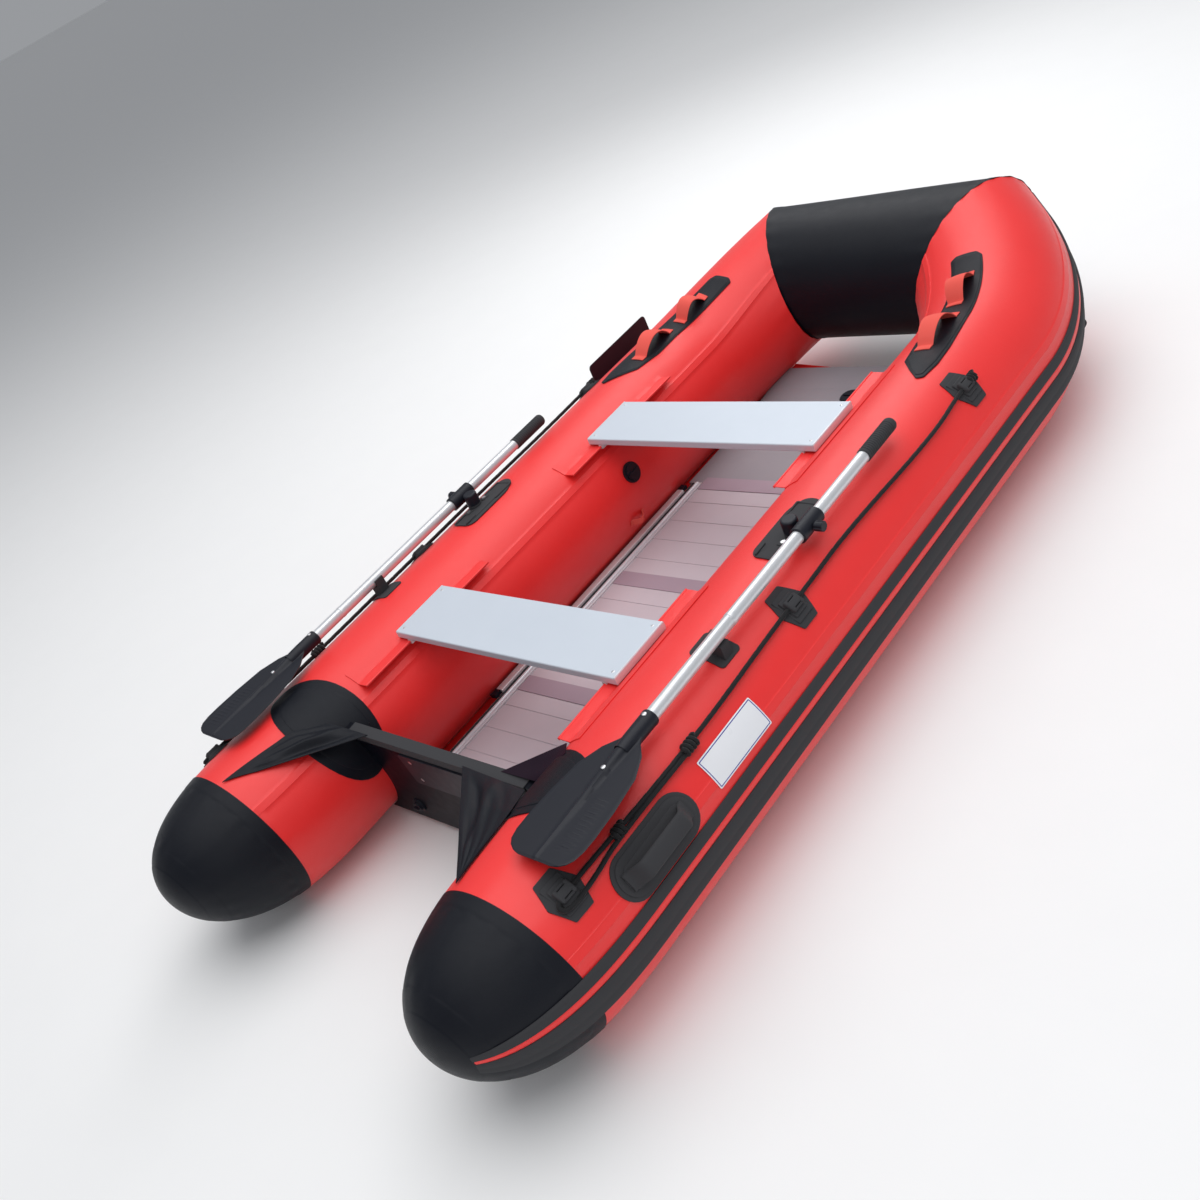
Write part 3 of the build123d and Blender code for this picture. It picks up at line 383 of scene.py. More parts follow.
# ---------------------------------------------------------------- mesh helpers
def finish_piece(
    bm: BMesh,
    name: str,
    finishes: Finish | Sequence[Finish],
    body: str = "hull",
    nodes: Sequence[str] = (),
    slot: str | None = None,
    smooth: float = 35.0,
) -> bpy.types.Object:
    """Turn a bmesh into a finished piece that rides on a body.

    Args:
        bm: the shape, freed here.
        name: piece name.
        finishes: its finish, or one for each material index.
        body: the body it rides on.
        nodes: frame nodes it stands for.
        slot: not used.
        smooth: edges sharper than this many degrees stay hard.

    Returns:
        The object.
    """
    mesh = bpy.data.meshes.new(name)
    bm.to_mesh(mesh)
    bm.free()
    piece = bpy.data.objects.new(name, mesh)
    bpy.context.scene.collection.objects.link(piece)
    for finish in [finishes] if isinstance(finishes, Finish) else finishes:
        mesh.materials.append(finish.material())
    mesh.shade_smooth()
    if hasattr(mesh, "set_sharp_from_angle"):
        mesh.set_sharp_from_angle(angle=math.radians(smooth))
    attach(piece, body)
    if nodes:
        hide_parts(*nodes)
    LOG.info("%s: %d faces on %s", name, len(mesh.polygons), body)
    return piece


def grid(
    columns: int, rows: int, place: Callable[[float, float], Vector], wrap: bool = False, cap: bool = False
) -> BMesh:
    """A grid laid on a surface.

    Args:
        columns: faces round.
        rows: faces along.
        place: surface point for column and row, both counted from 0 in whole steps.
        wrap: join the last column to the first.
        cap: close the two open ends.

    Returns:
        The new bmesh.
    """
    bm = bmesh.new()
    bmesh.ops.create_grid(bm, x_segments=columns, y_segments=rows, size=1.0)
    for v in bm.verts:
        i = round((v.co.x + 1) / 2 * columns)
        j = round((v.co.y + 1) / 2 * rows)
        v.co = place(i, j)
    if wrap:
        bmesh.ops.remove_doubles(bm, verts=bm.verts, dist=1e-6)
    if cap:
        close_ends(bm)
    bmesh.ops.recalc_face_normals(bm, faces=bm.faces)
    return bm


def lathe(
    bm: BMesh,
    profile: Outline,
    origin: Point,
    axis: Point,
    steps: int = 32,
) -> None:
    """Spin a profile of (radius, distance along) about an axis into bm.

    Args:
        bm: where the shape goes.
        profile: radius and distance along the axis, in order.
        origin: start of the axis.
        axis: its direction.
        steps: faces round.
    """
    origin, axis = Vector(origin), Vector(axis).normalized()
    across = axis.orthogonal().normalized()
    before = set(bm.verts)
    chain = [bm.verts.new(origin + axis * t + across * r) for r, t in profile]
    edges = [bm.edges.new(pair) for pair in zip(chain, chain[1:])]
    bmesh.ops.spin(
        bm, geom=[*chain, *edges], cent=origin, axis=axis, angle=TAU, steps=steps, use_merge=True,
        dvec=(0, 0, 0),
    )
    made = [v for v in bm.verts if v not in before]
    bmesh.ops.remove_doubles(bm, verts=made, dist=1e-6)
    made = [v for v in bm.verts if v not in before]
    faces = {f for v in made for f in v.link_faces}
    bmesh.ops.recalc_face_normals(bm, faces=list(faces))


def block(
    bm: BMesh, centre: Point, size: Point, rounding: float = 0.0, segments: int = 3
) -> None:
    """A rounded block in bm.

    Args:
        bm: where the shape goes.
        centre: its middle.
        size: its three sides.
        rounding: bevel width on every edge.
        segments: steps across each bevel.
    """
    matrix = Matrix.Translation(centre) @ Matrix.Diagonal((*size, 1))
    made = bmesh.ops.create_cube(bm, size=1.0, matrix=matrix)["verts"]
    if rounding:
        edges = list({e for v in made for e in v.link_edges})
        bmesh.ops.bevel(
            bm, geom=edges, offset=rounding, segments=segments, profile=0.5, affect="EDGES", material=-1
        )


def plate(
    outline: Outline,
    thickness: float,
    corner: float = 0.0,
    step: float = 0.012,
    rim: float = 0.0008,
) -> BMesh:
    """A flat plate cut to an outline, sliced finely enough to bend over the tube.

    Args:
        outline: corners in order, metres.
        thickness: plate thickness.
        corner: rounding of the outline's corners.
        step: spacing of the slices.
        rim: rounding of the top edge.

    Returns:
        The plate, its underside at height 0.
    """
    bm = bmesh.new()
    bm.faces.new([bm.verts.new((x, y, 0)) for x, y in outline]).normal_flip()
    if corner:
        bmesh.ops.bevel(
            bm, geom=list(bm.verts), offset=corner, segments=6, profile=0.5, affect="VERTICES", material=-1
        )
    xs = [x for x, _ in outline]
    ys = [y for _, y in outline]
    for axis, values in ((0, xs), (1, ys)):
        low, high = min(values), max(values)
        count = max(1, round((high - low) / step))
        for k in range(1, count):
            co = Vector((0, 0, 0))
            no = Vector((0, 0, 0))
            co[axis] = low + (high - low) * k / count + 1e-5
            no[axis] = 1
            bmesh.ops.bisect_plane(bm, geom=[*bm.verts, *bm.edges, *bm.faces], plane_co=co, plane_no=no)
    bmesh.ops.recalc_face_normals(bm, faces=bm.faces)
    if sum(f.normal.z for f in bm.faces) < 0:
        bmesh.ops.reverse_faces(bm, faces=bm.faces)
    top = bmesh.ops.extrude_face_region(bm, geom=list(bm.faces))
    verts = [g for g in top["geom"] if isinstance(g, bmesh.types.BMVert)]
    bmesh.ops.translate(bm, verts=verts, vec=(0, 0, thickness))
    bmesh.ops.recalc_face_normals(bm, faces=bm.faces)
    rim_edges = [
        e for e in bm.edges
        if all(v.co.z > thickness * 0.5 for v in e.verts) and any(abs(f.normal.z) < 0.5 for f in e.link_faces)
    ]
    if rim:
        bmesh.ops.bevel(bm, geom=rim_edges, offset=rim, segments=2, profile=0.5, affect="EDGES", material=-1)
    return bm


def drape(
    bm: BMesh, s: float, angle: float, side: int = 1, base: float = 0.0006
) -> BMesh:
    """Bend a flat shape over the tube: x runs along it, y round it and z off it.

    Args:
        bm: the flat shape.
        s: where its middle goes along the tube.
        angle: where its middle goes round the tube, degrees.
        side: 1 to starboard, -1 to port.
        base: how far its underside stands off.

    Returns:
        The same bmesh.
    """
    for v in bm.verts:
        v.co = HULL.point(s + v.co.x, math.radians(angle) + v.co.y / HULL.radius, v.co.z + base, side)
    bmesh.ops.recalc_face_normals(bm, faces=bm.faces)
    return bm


def both_sides(make: Callable[[int], BMesh], name: str, **how: object) -> None:
    """Build a piece for each side.

    Args:
        make: builds the bmesh for side 1 or -1.
        name: piece name without its side.
        how: passed on to finish_piece.
    """
    for label, side in SIDES.items():
        finish_piece(make(side), f"{name}_{label}", **how)


def merge(target: BMesh, source: BMesh) -> None:
    """Move everything of source into target and free source."""
    mesh = bpy.data.meshes.new("merge")
    source.to_mesh(mesh)
    source.free()
    target.from_mesh(mesh)
    bpy.data.meshes.remove(mesh)


def thicken(bm: BMesh, thickness: float) -> BMesh:
    """Give an open sheet a thickness."""
    bmesh.ops.solidify(bm, geom=list(bm.faces), thickness=thickness)
    bmesh.ops.recalc_face_normals(bm, faces=bm.faces)
    return bm


def ramp(value: float, low: float, high: float) -> float:
    """0 below low, 1 above high and smooth between."""
    t = min(1.0, max(0.0, (value - low) / (high - low)))
    return t * t * (3 - 2 * t)


def cut_side(bm: BMesh) -> None:
    """Cut a starboard shape off at its bow seam."""
    point, normal = HULL.mitre(1)
    bmesh.ops.bisect_plane(
        bm, geom=[*bm.verts, *bm.edges, *bm.faces], plane_co=point, plane_no=normal, clear_outer=True
    )


def cut_bow(bm: BMesh, side: int, overlap: float = 0.0) -> None:
    """Cut a bow shape off at one bow seam, an overlap outside it."""
    point, normal = HULL.mitre(side)
    bmesh.ops.bisect_plane(
        bm, geom=[*bm.verts, *bm.edges, *bm.faces], plane_co=point - normal * overlap, plane_no=normal,
        clear_inner=True,
    )


def close_ends(bm: BMesh) -> None:
    """Fill every open end with one face."""
    bmesh.ops.holes_fill(bm, edges=[e for e in bm.edges if e.is_boundary], sides=0)


def to_side(bm: BMesh, side: int) -> BMesh:
    """Mirror a starboard shape where the side is port, and face it outward."""
    if side < 0:
        bmesh.ops.scale(bm, vec=(-1, 1, 1), verts=bm.verts)
    bmesh.ops.recalc_face_normals(bm, faces=bm.faces)
    return bm


# ---------------------------------------------------------------- buoyancy tubes
@dataclass
class BuoyancyTubes:
    """Red side tubes, black bow tube and black stern cones with their welded seams."""

    seam_angles: tuple[float, ...] = (-52.0, 62.0, 150.0)
    seam_width: float = 5.5
    seam_height: float = 0.0008
    rows: int = 170

    def angles(self) -> list[float]:
        """Column angles round the tube, degrees, with close pairs at each seam's edges."""
        step = 0.15
        edges = (-step, step, self.seam_width - step, self.seam_width + step)
        extra = [a + d for a in self.seam_angles for d in edges]
        even = [a for a in range(-180, 180, 4) if all(abs(a - e) > 1.2 for e in extra)]
        return [*sorted([*even, *extra]), 180.0]

    def seam_lift(self, angle: float) -> float:
        """Height of the overlapped welds at an angle round the tube."""
        return self.seam_height if any(a < angle < a + self.seam_width for a in self.seam_angles) else 0.0

    def side_tube(self, side: int) -> BMesh:
        """One red side tube, from the cone's seam to the mitred bow seam."""
        angles = self.angles()
        start, end = HULL.cone_seam, HULL.bend_end + 0.15
        point, normal = HULL.mitre(1)

        def place(i: int, j: int) -> Vector:
            s = start + (end - start) * j / self.rows
            angle = math.radians(angles[i])
            p = HULL.point(s, angle)
            near = abs((p - point).dot(normal))
            pucker = 0.0011 * math.exp(-near / 0.035) * math.sin(angle * 26)
            stern = 0.0009 * math.exp(-(s - start) / 0.04) * math.sin(angle * 22)
            soft = 0.0005 * math.sin(s * 9 + angle * 3) * math.sin(angle * 5 + 1)
            lift = self.seam_lift(angles[i]) + pucker + stern + soft - 0.0006
            return HULL.point(s, angle, lift)

        bm = grid(len(angles) - 1, self.rows, place, wrap=True)
        cut_side(bm)
        return to_side(bm, side)

    def bow_tube(self) -> BMesh:
        """The black cross tube, with a welded band along each mitred seam."""
        reach = HULL.corner_x + 0.16
        rows = 96
        point, normal = HULL.mitre(1)

        def place(i: int, j: int) -> Vector:
            x = -reach + 2 * reach * j / rows
            angle = TAU * i / 120 - math.pi
            p = HULL.bow_point(abs(x), angle)
            near = (p - point).dot(normal)
            band = 0.0010 * (1 - ramp(near, 0.024, 0.026))
            pucker = 0.0010 * math.exp(-abs(near) / 0.04) * math.sin(angle * 24)
            soft = 0.0006 * math.sin(x * 8) * math.sin(angle * 4)
            return HULL.bow_point(x, angle, band + pucker + soft - 0.0004)

        bm = grid(120, rows, place, wrap=True)
        for side in SIDES.values():
            cut_bow(bm, side, overlap=0.001)
        bmesh.ops.recalc_face_normals(bm, faces=bm.faces)
        return bm

    def cone(self, side: int) -> BMesh:
        """A black stern cone: an overlap band, a body of gores and two round end patches."""
        rows = 110
        columns = 128
        front, tip = HULL.cone_seam + 0.003, HULL.taper_start - HULL.cone_length

        gore_columns, half_gore = columns // 8, columns // 16
        band_edge, body_edge = (-1.3135, -1.3120), (-1.47, -1.46)
        patches = ((0.0008, 1.4775, 1.4785), (0.0009, 1.5130, 1.5140))
        band_height, band_seam, patch_seam = 0.0011, -1.32, -1.47

        def place(i: int, j: int) -> Vector:
            share = math.sin(math.pi / 2 * j / rows)
            s = front + (tip - front) * share
            angle = TAU * i / columns
            if j == rows:
                return Vector((HULL.half_spacing, tip + 0.0012, HULL.station(tip)[0].z))
            band = ramp(s, *band_edge)
            cap = sum(height * ramp(-s, near, far) for height, near, far in patches)
            from_seam = (i + half_gore) % gore_columns - half_gore
            gore = 0.0005 * math.exp(-(from_seam / 0.9) ** 2) * ramp(s, *body_edge) * (1 - band)
            pucker = 0.0009 * math.exp(-abs(s - band_seam) / 0.02) * math.sin(angle * 23)
            pucker *= ramp(-s, 1.312, 1.318)
            creases = 0.0008 * math.exp(-abs(s - patch_seam) / 0.02) * math.sin(angle * 17)
            return HULL.point(s, angle, band_height * band + cap + gore + pucker + creases)

        return to_side(grid(columns, rows, place, wrap=True), side)

    def build(self) -> None:
        """Build and dress every inflated piece."""
        for label, side in SIDES.items():
            tube, cone = self.side_tube(side), self.cone(side)
            finish_piece(tube, f"side_tube_{label}", RED_CLOTH, "hull", [f"tube_{label}"], "red_fabric")
            finish_piece(
                cone, f"stern_cone_skin_{label}", BLACK_CLOTH, "hull", [f"stern_cone_{label}"], "black_fabric"
            )
        finish_piece(self.bow_tube(), "bow_tube_skin", BLACK_CLOTH, nodes=["bow_tube"], slot="black_fabric")


# ---------------------------------------------------------------- rub strakes
@dataclass
class RubStrakes:
    """Moulded rubber strakes and red piping along both sides and round the bow.

    Attributes:
        start: where they begin on the cones.
        rows: slices along a side.
        base: how far their underside stands off.
        bands: first and last angle in degrees, height and number of ridges.
    """

    start: float = -1.516
    rows: int = 200
    base: float = 0.0006
    bands: dict[str, tuple[float, float, float, int]] = field(
        default_factory=lambda: {
            "upper": (75.0, 82.5, 0.0048, 1),
            "piping": (82.3, 87.2, 0.0030, 1),
            "lower": (87.0, 104.0, 0.0088, 2),
        }
    )

    @staticmethod
    def profile(first: float, last: float, height: float, ridges: int) -> list[tuple[float, float]]:
        """Angle in radians and lift round one strake's section, as a closed ring."""
        top = []
        steps = 12 * ridges
        for k in range(steps + 1):
            t = k / steps
            edge = min(1.0, 6 * min(t, 1 - t) * ridges / 2 + 0.25)
            groove = 0.18 * (1 - abs(math.sin(math.pi * t * ridges))) if ridges > 1 else 0.0
            crown = math.sqrt(edge) - groove * ramp(min(t, 1 - t), 0.08, 0.2)
            top.append((first + (last - first) * t, height * crown))
        sunk = -0.0006
        ring = [(first, sunk), *top, (last, sunk)]
        return [(math.radians(a), lift) for a, lift in [*ring, ring[0]]]

    def build(self) -> None:
        """Build both strakes on each side and across the bow."""
        for band, (first, last, height, ridges) in self.bands.items():
            ring = self.profile(first, last, height, ridges)
            if band == "piping":
                dress = {"finishes": RED_CLOTH, "slot": "red_fabric"}
            else:
                dress = {"finishes": BLACK_RUBBER, "nodes": (f"rub_strakes_{band}",), "slot": "black_rubber"}
            end = HULL.bend_end + 0.15
            for label, side in SIDES.items():

                def place(i: int, j: int) -> Vector:
                    s = self.start + (end - self.start) * j / self.rows
                    taper = ramp(s, self.start - 0.01, self.start + 0.05)
                    angle, lift = ring[i]
                    return HULL.point(s, angle, self.base + lift * (0.3 + 0.7 * taper))

                bm = grid(len(ring) - 1, self.rows, place, wrap=True, cap=True)
                cut_side(bm)
                close_ends(bm)
                finish_piece(to_side(bm, side), f"strake_{band}_{label}", **dress)
            reach, bow_rows = HULL.corner_x + 0.2, 40

            def across(i: int, j: int) -> Vector:
                angle, lift = ring[i]
                return HULL.bow_point(-reach + 2 * reach * j / bow_rows, angle, self.base + lift)

            bm = grid(len(ring) - 1, bow_rows, across, wrap=True, cap=True)
            for side in SIDES.values():
                cut_bow(bm, side)
                close_ends(bm)
            bmesh.ops.recalc_face_normals(bm, faces=bm.faces)
            finish_piece(bm, f"strake_{band}_bow", **dress)


# ---------------------------------------------------------------- grab ropes
@dataclass
class GrabRopes:
    """Braided grab ropes, reeved through the lugs, with their tails laid alongside and knotted."""

    radius: float = 0.0055
    lift: float = 0.011
    angle: float = 38.0
    step: float = 0.0026
    knots: tuple[tuple[float, float, int], ...] = ((0.569, 0.0, 3), (-0.764, -0.013, 4), (-1.014, -0.008, 3))
    knot_pitch: float = 0.011
    route: tuple[tuple[float, float], ...] = (
        (0.572, 0.0), (0.505, 0.0), (0.34, -0.014), (-0.07, 0.006), (-0.255, 0.0), (-0.387, 0.0),
        (-0.76, -0.014), (-1.150, 0.0), (-1.216, 0.0), (-1.216, -0.028), (-1.124, -0.028),
        (-1.024, -0.014), (-0.754, -0.020),
    )

    def route_point(self, along: float, inboard: float, side: int) -> Vector:
        """A point of the route on the flat plane that touches the tube at the lugs."""
        a = math.radians(self.angle)
        out = Vector((math.sin(a), 0, math.cos(a)))
        across = Vector((-math.cos(a), 0, math.sin(a)))
        p = Vector((HULL.half_spacing, along, HULL.radius))
        p = p + out * (HULL.radius + self.lift) + across * inboard
        return Vector((p.x * side, p.y, p.z))

    def line(self, label: str, side: int) -> bpy.types.Object:
        """The rope's centre line as a smooth spline."""
        data = bpy.data.curves.new(f"rope_line_{label}", "CURVE")
        data.dimensions = "3D"
        spline = data.splines.new("NURBS")
        spline.points.add(len(self.route) - 1)
        for point, (along, inboard) in zip(spline.points, self.route):
            point.co = (*self.route_point(along, inboard, side), 1)
        spline.order_u = 3
        spline.use_endpoint_u = True
        spline.resolution_u = 24
        line = bpy.data.objects.new(f"rope_line_{label}", data)
        bpy.context.scene.collection.objects.link(line)
        return line

    @staticmethod
    def even_points(points: Sequence[Vector], step: float) -> list[Vector]:
        """The same line with points a fixed step apart."""
        made = [points[0].copy()]
        carry = 0.0
        for a, b in zip(points, points[1:]):
            length = (b - a).length
            t = step - carry
            while t <= length:
                made.append(a.lerp(b, t / length))
                t += step
            carry = length - (t - step)
        return made

    def braid(self, points: Sequence[Vector], radius: float) -> BMesh:
        """A braided skin of crossing strands round a line."""
        columns = 20
        normals = []
        last = len(points) - 1
        for k in range(last + 1):
            along = (points[min(k + 1, last)] - points[max(k - 1, 0)]).normalized()
            side = along.cross(Vector(UP)).normalized()
            normals.append((side, side.cross(along).normalized()))

        def place(i: int, j: int) -> Vector:
            a = TAU * i / columns
            twist = j * 0.42
            strands = max(math.sin(5 * a + twist), math.sin(5 * a - twist))
            side, up = normals[j]
            return points[j] + (side * math.cos(a) + up * math.sin(a)) * (radius * (0.90 + 0.10 * strands))

        return grid(columns, last, place, wrap=True, cap=True)

    def knot(self, centre: Vector, turns: int) -> list[Vector]:
        """The centre line of a few wraps round the rope, along the boat."""
        round_steps = 14
        steps = round_steps * turns
        reach = self.radius * 1.9
        line = []
        for k in range(steps + 1):
            a = TAU * k / round_steps
            along = (k / steps - 0.5) * (self.knot_pitch * turns)
            line.append(centre + Vector((math.sin(a) * reach, along, math.cos(a) * reach)))
        return line

    def build(self) -> None:
        """Build both ropes with their knots."""
        for label, side in SIDES.items():
            line = self.line(label, side)
            bpy.context.view_layer.update()
            depsgraph = bpy.context.evaluated_depsgraph_get()
            sampled = bpy.data.meshes.new_from_object(line.evaluated_get(depsgraph))
            points = [v.co.copy() for v in sampled.vertices]
            bpy.data.meshes.remove(sampled)
            bpy.data.objects.remove(line)
            even = self.even_points(points, self.step)
            length = sum((b - a).length for a, b in zip(points, points[1:]))
            rope = finish_piece(
                self.braid(even, self.radius), f"grab_rope_braid_{label}", ROPE_FIBRE,
                nodes=[f"grab_rope_{label}"], slot="rope", smooth=180,
            )
            knots = bmesh.new()
            for along, inboard, turns in self.knots:
                wraps = self.knot(self.route_point(along, inboard, side), turns)
                merge(knots, self.braid(wraps, self.radius))
            tied = finish_piece(knots, f"grab_rope_knots_{label}", ROPE_FIBRE, slot="rope", smooth=180)
            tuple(points[0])


# ---------------------------------------------------------------- glued patches and fittings
@dataclass
class GluedFittings:
    """Rubber and fabric patches on the tubes, with what is moulded on them."""

    thickness: float = 0.0026
    rope_stations: tuple[float, ...] = (-1.184, -0.321, 0.538)
    rope_angle: float = 38.0
    handle_place: tuple[float, float] = (-0.980, 60.0)
    oarlock_place: tuple[float, float] = (-0.112, 4.0)
    oarlock_boss: Point = (0.570, -0.130, 0.450)
    panel_place: tuple[float, float] = (-0.681, 60.0)

    def rope_patches(self, side: int) -> BMesh:
        """Three six-sided patches with their rope lugs."""
        whole = bmesh.new()
        corners = ((-27, -55), (27, -55), (48, 0), (27, 55), (-27, 55), (-48, 0))
        for s in self.rope_stations:
            bm = plate([(x * MM, y * MM) for x, y in corners], self.thickness, corner=0.003)
            block(bm, (0, 0, 0.0040), (0.058, 0.076, 0.005), 0.0024)
            block(bm, (0, 0, 0.0065), (0.046, 0.050, 0.008), 0.0036)
            for end in (-1, 1):
                block(bm, (end * 0.016, 0, 0.0115), (0.011, 0.030, 0.020), 0.0048)
                block(bm, (0, end * 0.0125, 0.0100), (0.040, 0.006, 0.016), 0.0025)
            block(bm, (0, 0, 0.0185), (0.040, 0.017, 0.006), 0.0028)
            drape(bm, s, self.rope_angle, side)
            merge(whole, bm)
        return whole

    @staticmethod
    def stadium(half: float, radius: float, steps: int = 14) -> list[tuple[float, float]]:
        """Corners of a long shape with two round ends."""
        straight = half - radius
        turns = [math.pi * (k / steps - 0.5) for k in range(steps + 1)]
        right = [(straight + radius * math.cos(a), radius * math.sin(a)) for a in turns]
        return right + [(-x, -y) for x, y in right]

    def stern_handle(self, side: int) -> BMesh:
        """A long round-ended pad with one smooth raised bar."""
        bm = bmesh.new()
        for half, radius, thick, rim in (
            (0.131, 0.054, 0.0036, 0.0012), (0.121, 0.044, 0.0062, 0.0012), (0.106, 0.027, 0.0090, 0.0014),
        ):
            merge(bm, plate(self.stadium(half, radius), thick, step=0.010, rim=rim))
        rows, columns, half, deep, rise = 60, 20, 0.104, 0.0080, 0.034

        def place(i: int, j: int) -> Vector:
            t = 2 * j / rows - 1
            x = half * math.copysign(abs(t) ** 0.9, t)
            lift = rise * (1 - ramp(abs(x), 0.064, 0.101))
            a = TAU * i / columns
            width = 0.0175 + 0.004 * ramp(abs(x), 0.06, 0.10)
            y = width * math.copysign(abs(math.cos(a)) ** 0.7, math.cos(a))
            z = deep * math.copysign(abs(math.sin(a)) ** 0.8, math.sin(a))
            return Vector((x, y, 0.006 + lift + z))

        merge(bm, grid(columns, rows, place, wrap=True, cap=True))
        return drape(bm, *self.handle_place, side)

    def oarlock_base(self, side: int) -> BMesh:
        """The oarlock's glued base: pad, raised deck, boss and the two bolt ears."""
        ends = [
            (-115, -28), (-95, -44), (60, -44), (98, -30), (115, -12), (115, 20), (80, 44), (-100, 44),
            (-115, 30),
        ]
        bm = plate([(x * MM, y * MM) for x, y in ends], self.thickness, corner=0.012)
        for v in bm.verts:
            v.co.y += 0.001
        drape(bm, *self.oarlock_place, side)
        flat = bmesh.new()
        block(flat, (-0.018, 0.004, 0.0028), (0.150, 0.066, 0.0034), 0.0016)
        for row in (-1, 1):
            block(flat, (-0.088, row * 0.024, 0.0042), (0.044, 0.006, 0.0070), 0.0022)
            block(flat, (0.058, row * 0.030, 0.0036), (0.076, 0.006, 0.0050), 0.0020)
        block(flat, (0.094, 0.0, 0.0036), (0.006, 0.060, 0.0050), 0.0020)
        for end in (-1, 1):
            block(flat, (-0.018 + end * 0.036, 0.021, 0.0032), (0.024, 0.028, 0.0040), 0.0018)
        drape(flat, *self.oarlock_place, side)
        merge(bm, flat)
        boss = [
            (0, -0.020), (0.0212, -0.020), (0.0212, -0.003), (0.0190, -0.0006), (0.0098, -0.0006),
            (0.0098, -0.010), (0, -0.010),
        ]
        x, y, z = self.oarlock_boss
        lathe(bm, boss, (x * side, y, z), UP, 40)
        return bm

    def handle_patch(self, side: int) -> BMesh:
        """The long angular patch under the two bow straps, with a welded border."""
        edge = (
            (0.602, -14.1), (0.553, -3.3), (0.515, 6.5), (0.524, 11.0), (0.588, 13.1), (0.669, 12.1),
            (0.797, 8.0), (0.921, 4.7), (1.060, 1.5), (1.138, -0.4), (1.160, -4.5), (1.178, -20.0),
            (1.168, -24.5), (1.053, -22.4), (0.915, -20.5), (0.804, -18.6), (0.700, -18.8),
        )
        middle = 0.86
        outline = [(s - middle, math.radians(a + 6) * HULL.radius) for s, a in edge]
        bm = plate(outline, 0.0018, step=0.010, corner=0.005)
        inner = [(x * 0.965, (y - 0.001) * 0.88) for x, y in outline]
        raised = plate(inner, 0.0012, step=0.010, corner=0.004)
        for v in raised.verts:
            v.co.z += 0.0016
        merge(bm, raised)
        return drape(bm, middle, -6.0, side)

    def name_panel(self, side: int) -> BMesh:
        """A blank label with a thin printed line inside its edge."""
        half_long, half_wide, inset, line = 0.101, 0.0385, 0.004, 0.0022
        corners = ((-1, -1), (1, -1), (1, 1), (-1, 1))
        edge = [(half_long * x, half_wide * y) for x, y in corners]
        bm = plate(edge, 0.0012, corner=0.003, step=0.006, rim=0.0003)
        frame_long, frame_wide = half_long - inset, half_wide - inset
        for x, y in ((0, 1), (0, -1), (1, 0), (-1, 0)):
            size = (line, 2 * frame_wide) if x else (2 * frame_long, line)
            strip = [(x * frame_long + size[0] * a / 2, y * frame_wide + size[1] * b / 2) for a, b in corners]
            merge(bm, plate(strip, 0.0014, step=0.006, rim=0))
        for f in bm.faces:
            middle = f.calc_center_median()
            outer = abs(middle.x) > frame_long - line / 2 or abs(middle.y) > frame_wide - line / 2
            inner = abs(middle.x) < frame_long + line / 2 and abs(middle.y) < frame_wide + line / 2
            f.material_index = 1 if outer and inner and middle.z > 0.00125 else 0
        return drape(bm, *self.panel_place, side)

    def build(self) -> None:
        """Build every glued piece."""
        rubber = {"finishes": BLACK_RUBBER, "slot": "black_rubber"}
        both_sides(self.rope_patches, "rope_patch_set", nodes=["rope_patches"], **rubber)
        both_sides(self.stern_handle, "stern_handle", nodes=["stern_handles"], **rubber)
        both_sides(self.oarlock_base, "oarlock_base", nodes=["oarlock_bases"], **rubber)
        both_sides(
            self.handle_patch, "bow_handle_patch", nodes=["bow_handle_patches"],
            finishes=BLACK_CLOTH, slot="black_fabric",
        )
        both_sides(
            self.name_panel, "name_panel", nodes=["name_panels"],
            finishes=[WHITE_LABEL, VIOLET_INK], slot="panel_white",
        )


# ---------------------------------------------------------------- bow straps
@dataclass
class BowStraps:
    """Stitched webbing loops: two on each bow patch, or one by each side valve."""

    width: float = 0.045
    thickness: float = 0.0026
    rise: float = 0.042
    half: float = 0.090
    foot: float = 0.024
    spots: tuple[Point, ...] = ((-0.088, -6.0, 0.0036), (0.150, -10.0, 0.0036))
    name: str = "bow_straps"
    nodes: tuple[str, ...] = ("bow_handle_straps",)

    def strap(self, s: float, angle: float, base: float, side: int) -> BMesh:
        """One loop with its two sewn feet and stitches."""
        rows = 56
        across = 8
        free = self.half - self.foot

        def centre(t: float) -> tuple[float, float]:
            x = -self.half + 2 * self.half * t
            if abs(x) > free:
                return x, 0.0
            u = x / free
            return x * (1 - 0.10 * (1 - u * u)), self.rise * (1 - u * u) ** 0.8

        def place(i: int, j: int) -> Vector:
            x, z = centre(j / rows)
            y = self.width * (i / across - 0.5)
            cup = 0.0012 * (1 - (2 * i / across - 1) ** 2) * (1 if z > 0.01 else 0)
            return Vector((x, y, z + cup))

        bm = grid(across, rows, place)
        thicken(bm, -self.thickness)
        for end in (-1, 1):
            for row in (-1, 1):
                for k in range(-4, 5):
                    at_x = end * (self.half - self.foot / 2 + row * self.foot * 0.29)
                    block(
                        bm, (at_x, k * self.width * 0.102, self.thickness + 0.0002),
                        (0.0009, 0.0032, 0.0010), 0.0003, segments=1,
                    )
        return drape(bm, HULL.bend_start + s, angle, side, base)

    def build(self) -> None:
        """Build the loops on each side as one piece a side."""
        for label, side in SIDES.items():
            whole = bmesh.new()
            for spot in self.spots:
                merge(whole, self.strap(*spot, side))
            finish_piece(whole, f"{self.name}_{label}", RED_WEBBING, nodes=self.nodes, slot="red_webbing")


